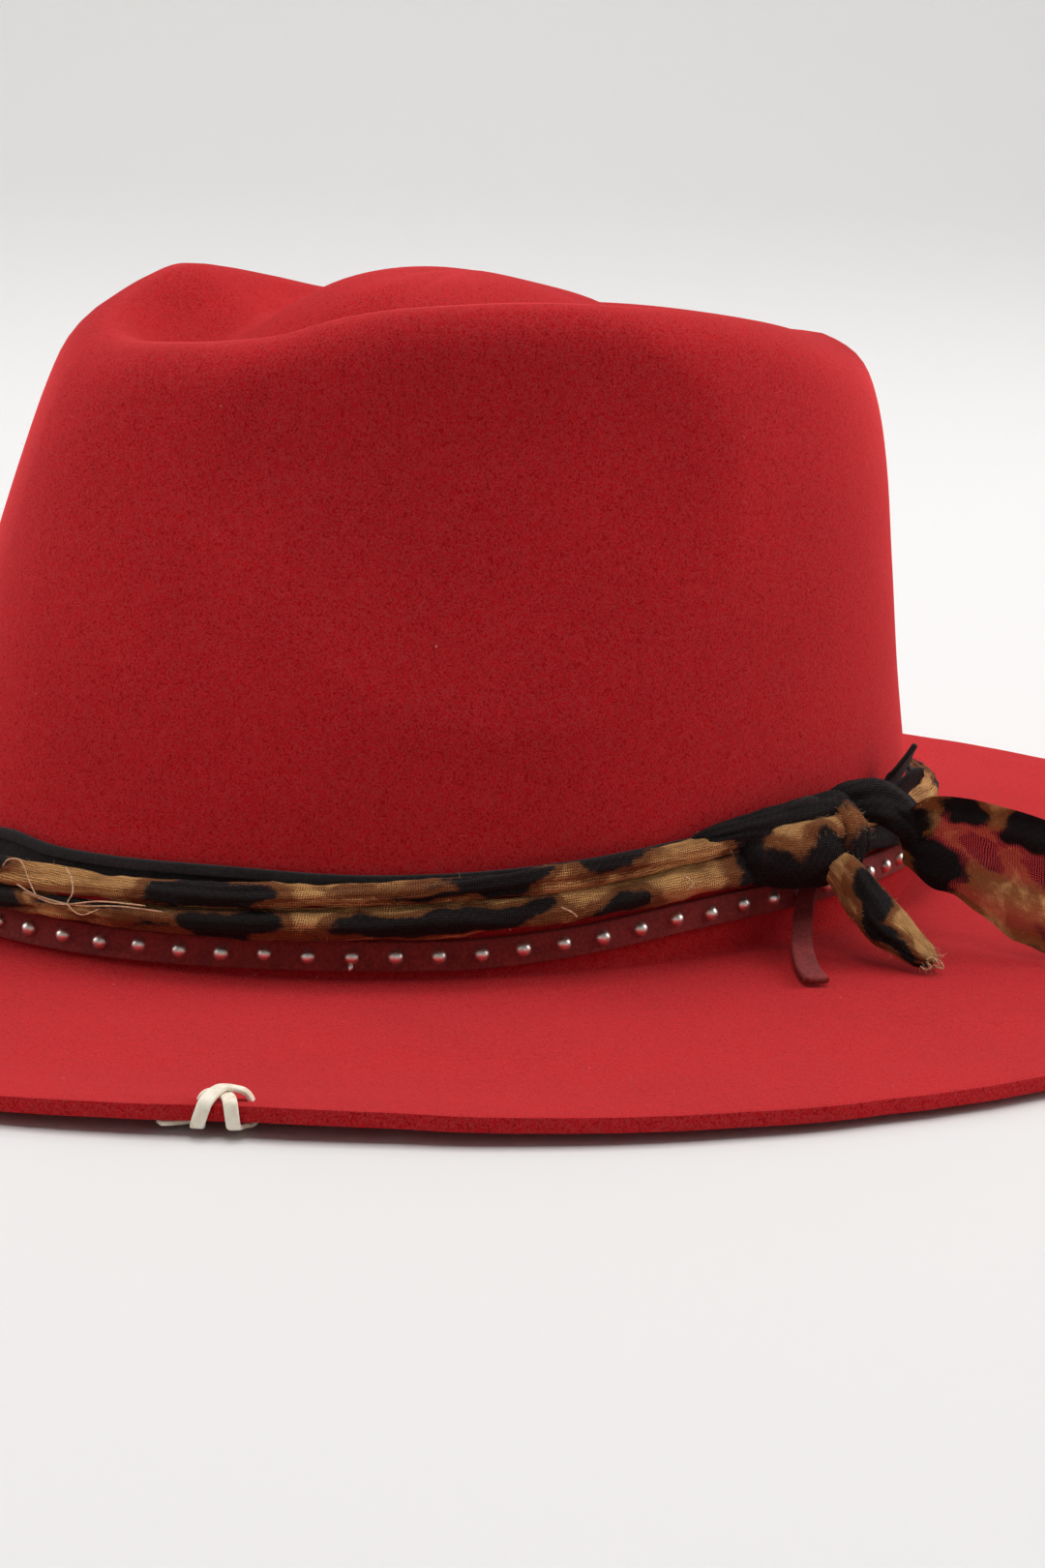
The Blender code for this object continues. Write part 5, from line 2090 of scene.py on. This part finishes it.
@dataclass
class Studio:
    """A pale floor that rises into a round backdrop, soft lights, and the photograph's camera."""

    # The floor's radius, the bend up to the wall and the wall's height, in metres.
    floor_radius: float = 2.6
    bend: float = 0.9
    wall: float = 2.6
    bend_steps: int = 12
    sunk: float = 0.0004
    camera_place: tuple[float, float, float] = (673.21, -271.99, 175.59)
    camera_right: tuple[float, float, float] = (0.39797, 0.917, 0.02702)
    camera_up: tuple[float, float, float] = (-0.20202, 0.05887, 0.97761)
    camera_back: tuple[float, float, float] = (0.89488, -0.39451, 0.20869)
    lens: float = 85.08
    sensor: float = 36.0
    # Name, place in m, what it looks at, side in m, power in W and colour.
    lights: tuple[tuple[str, Colour, Colour, float, float, Colour], ...] = (
        ("softbox_top", (-0.56, 0.24, 2.3), (0.0, 0.0, 0.0), 1.3, 29.5, (1.0, 0.985, 0.98)),
        ("softbox_over", (-0.1, 0.05, 2.4), (-0.1, 0.05, 0.0), 2.8, 2.6, (1.0, 0.985, 0.98)),
        ("softbox_front", (0.52, -0.26, 2.1), (0.0, 0.0, 0.05), 0.6, 10.0, (1.0, 0.985, 0.98)),
        ("softbox_back", (-3.0, 1.2, 2.3), (-3.4, 1.36, 0.0), 2.8, 48.0, (1.0, 0.985, 0.98)),
        ("softbox_right", (0.35, 1.45, 0.75), (0.0, 0.0, 0.05), 1.0, 11.5, (1.0, 0.98, 0.97)),
        ("softbox_left", (-0.75, -1.35, 0.8), (0.0, 0.0, 0.05), 1.0, 8.0, (1.0, 0.98, 0.97)),
    )
    fill: float = 0.02
    finish: FloorFinish = FloorFinish()

    def backdrop(self) -> None:
        """Spins the floor and its rise about the hat."""
        profile = [(0.0, 0.0), (self.floor_radius * 0.5, 0.0), (self.floor_radius, 0.0)]
        for step in range(1, self.bend_steps + 1):
            angle = math.radians(step * 90.0 / self.bend_steps)
            reach = self.floor_radius + self.bend * math.sin(angle)
            profile.append((reach, self.bend * (1.0 - math.cos(angle))))
        profile.append((self.floor_radius + self.bend, self.bend + self.wall))
        shape = lathe([(reach, up - self.sunk) for reach, up in profile], 96, 1e-5)
        mesh = as_mesh("studio_backdrop", shape)
        mesh.shade_smooth()
        mesh.materials.append(self.finish.material())
        place_object("studio_backdrop", mesh)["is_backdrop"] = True

    def light_up(self) -> None:
        """Adds the softboxes and the even fill."""
        for name, place, target, side, power, colour in self.lights:
            lamp = bpy.data.lights.new(name, "AREA")
            lamp.shape = "SQUARE"
            lamp.size = side
            lamp.energy = power
            lamp.color = colour
            holder = place_object(name, lamp)
            holder.location = place
            aim = Vector(target) - Vector(place)
            holder.rotation_euler = aim.to_track_quat("-Z", "Y").to_euler()
            holder.visible_camera = False
        world = bpy.data.worlds.new("studio_fill")
        world.use_nodes = True
        sky = world.node_tree.nodes["Background"]
        sky.inputs["Color"].default_value = (1.0, 0.995, 0.99, 1.0)
        sky.inputs["Strength"].default_value = self.fill
        bpy.context.scene.world = world

    def place_camera(self) -> None:
        """Sets the camera where the photograph was taken from."""
        data = bpy.data.cameras.new("photo_camera")
        data.lens = self.lens
        data.sensor_width = self.sensor
        data.clip_start = 0.01
        data.clip_end = 30.0
        camera = place_object("photo_camera", data)
        turned = Matrix((self.camera_right, self.camera_up, self.camera_back)).transposed().to_4x4()
        camera.matrix_world = Matrix.Translation(Vector(self.camera_place) * MM) @ turned
        bpy.context.scene.camera = camera

    def build(self) -> None:
        """Sets up the studio."""
        self.backdrop()
        self.light_up()
        self.place_camera()
        bpy.context.scene.view_settings.view_transform = "Standard"


def main() -> None:
    """Builds the studio and every piece, and works out the size of the CAD and of the visual model."""
    logging.basicConfig(level=logging.INFO, format="%(name)s %(message)s")
    for part in (
        Studio(),
        FeltBody(),
        StuddedStrap(),
        BlackLaces(),
        ScarfRolls(),
        ScarfKnot(),
        SheerTail(),
        BrimStitch(),
        LooseThreads(),
    ):
        log.info("building %s", type(part).__name__)
        part.build()
    bpy.context.view_layer.update()
    boxes = {
        name: [[float(value) for value in corner_point] for corner_point in box]
        for name, box in (("cad", CAD_BOX), ("visual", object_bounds()))
    }


if __name__ == "__main__":
    main()
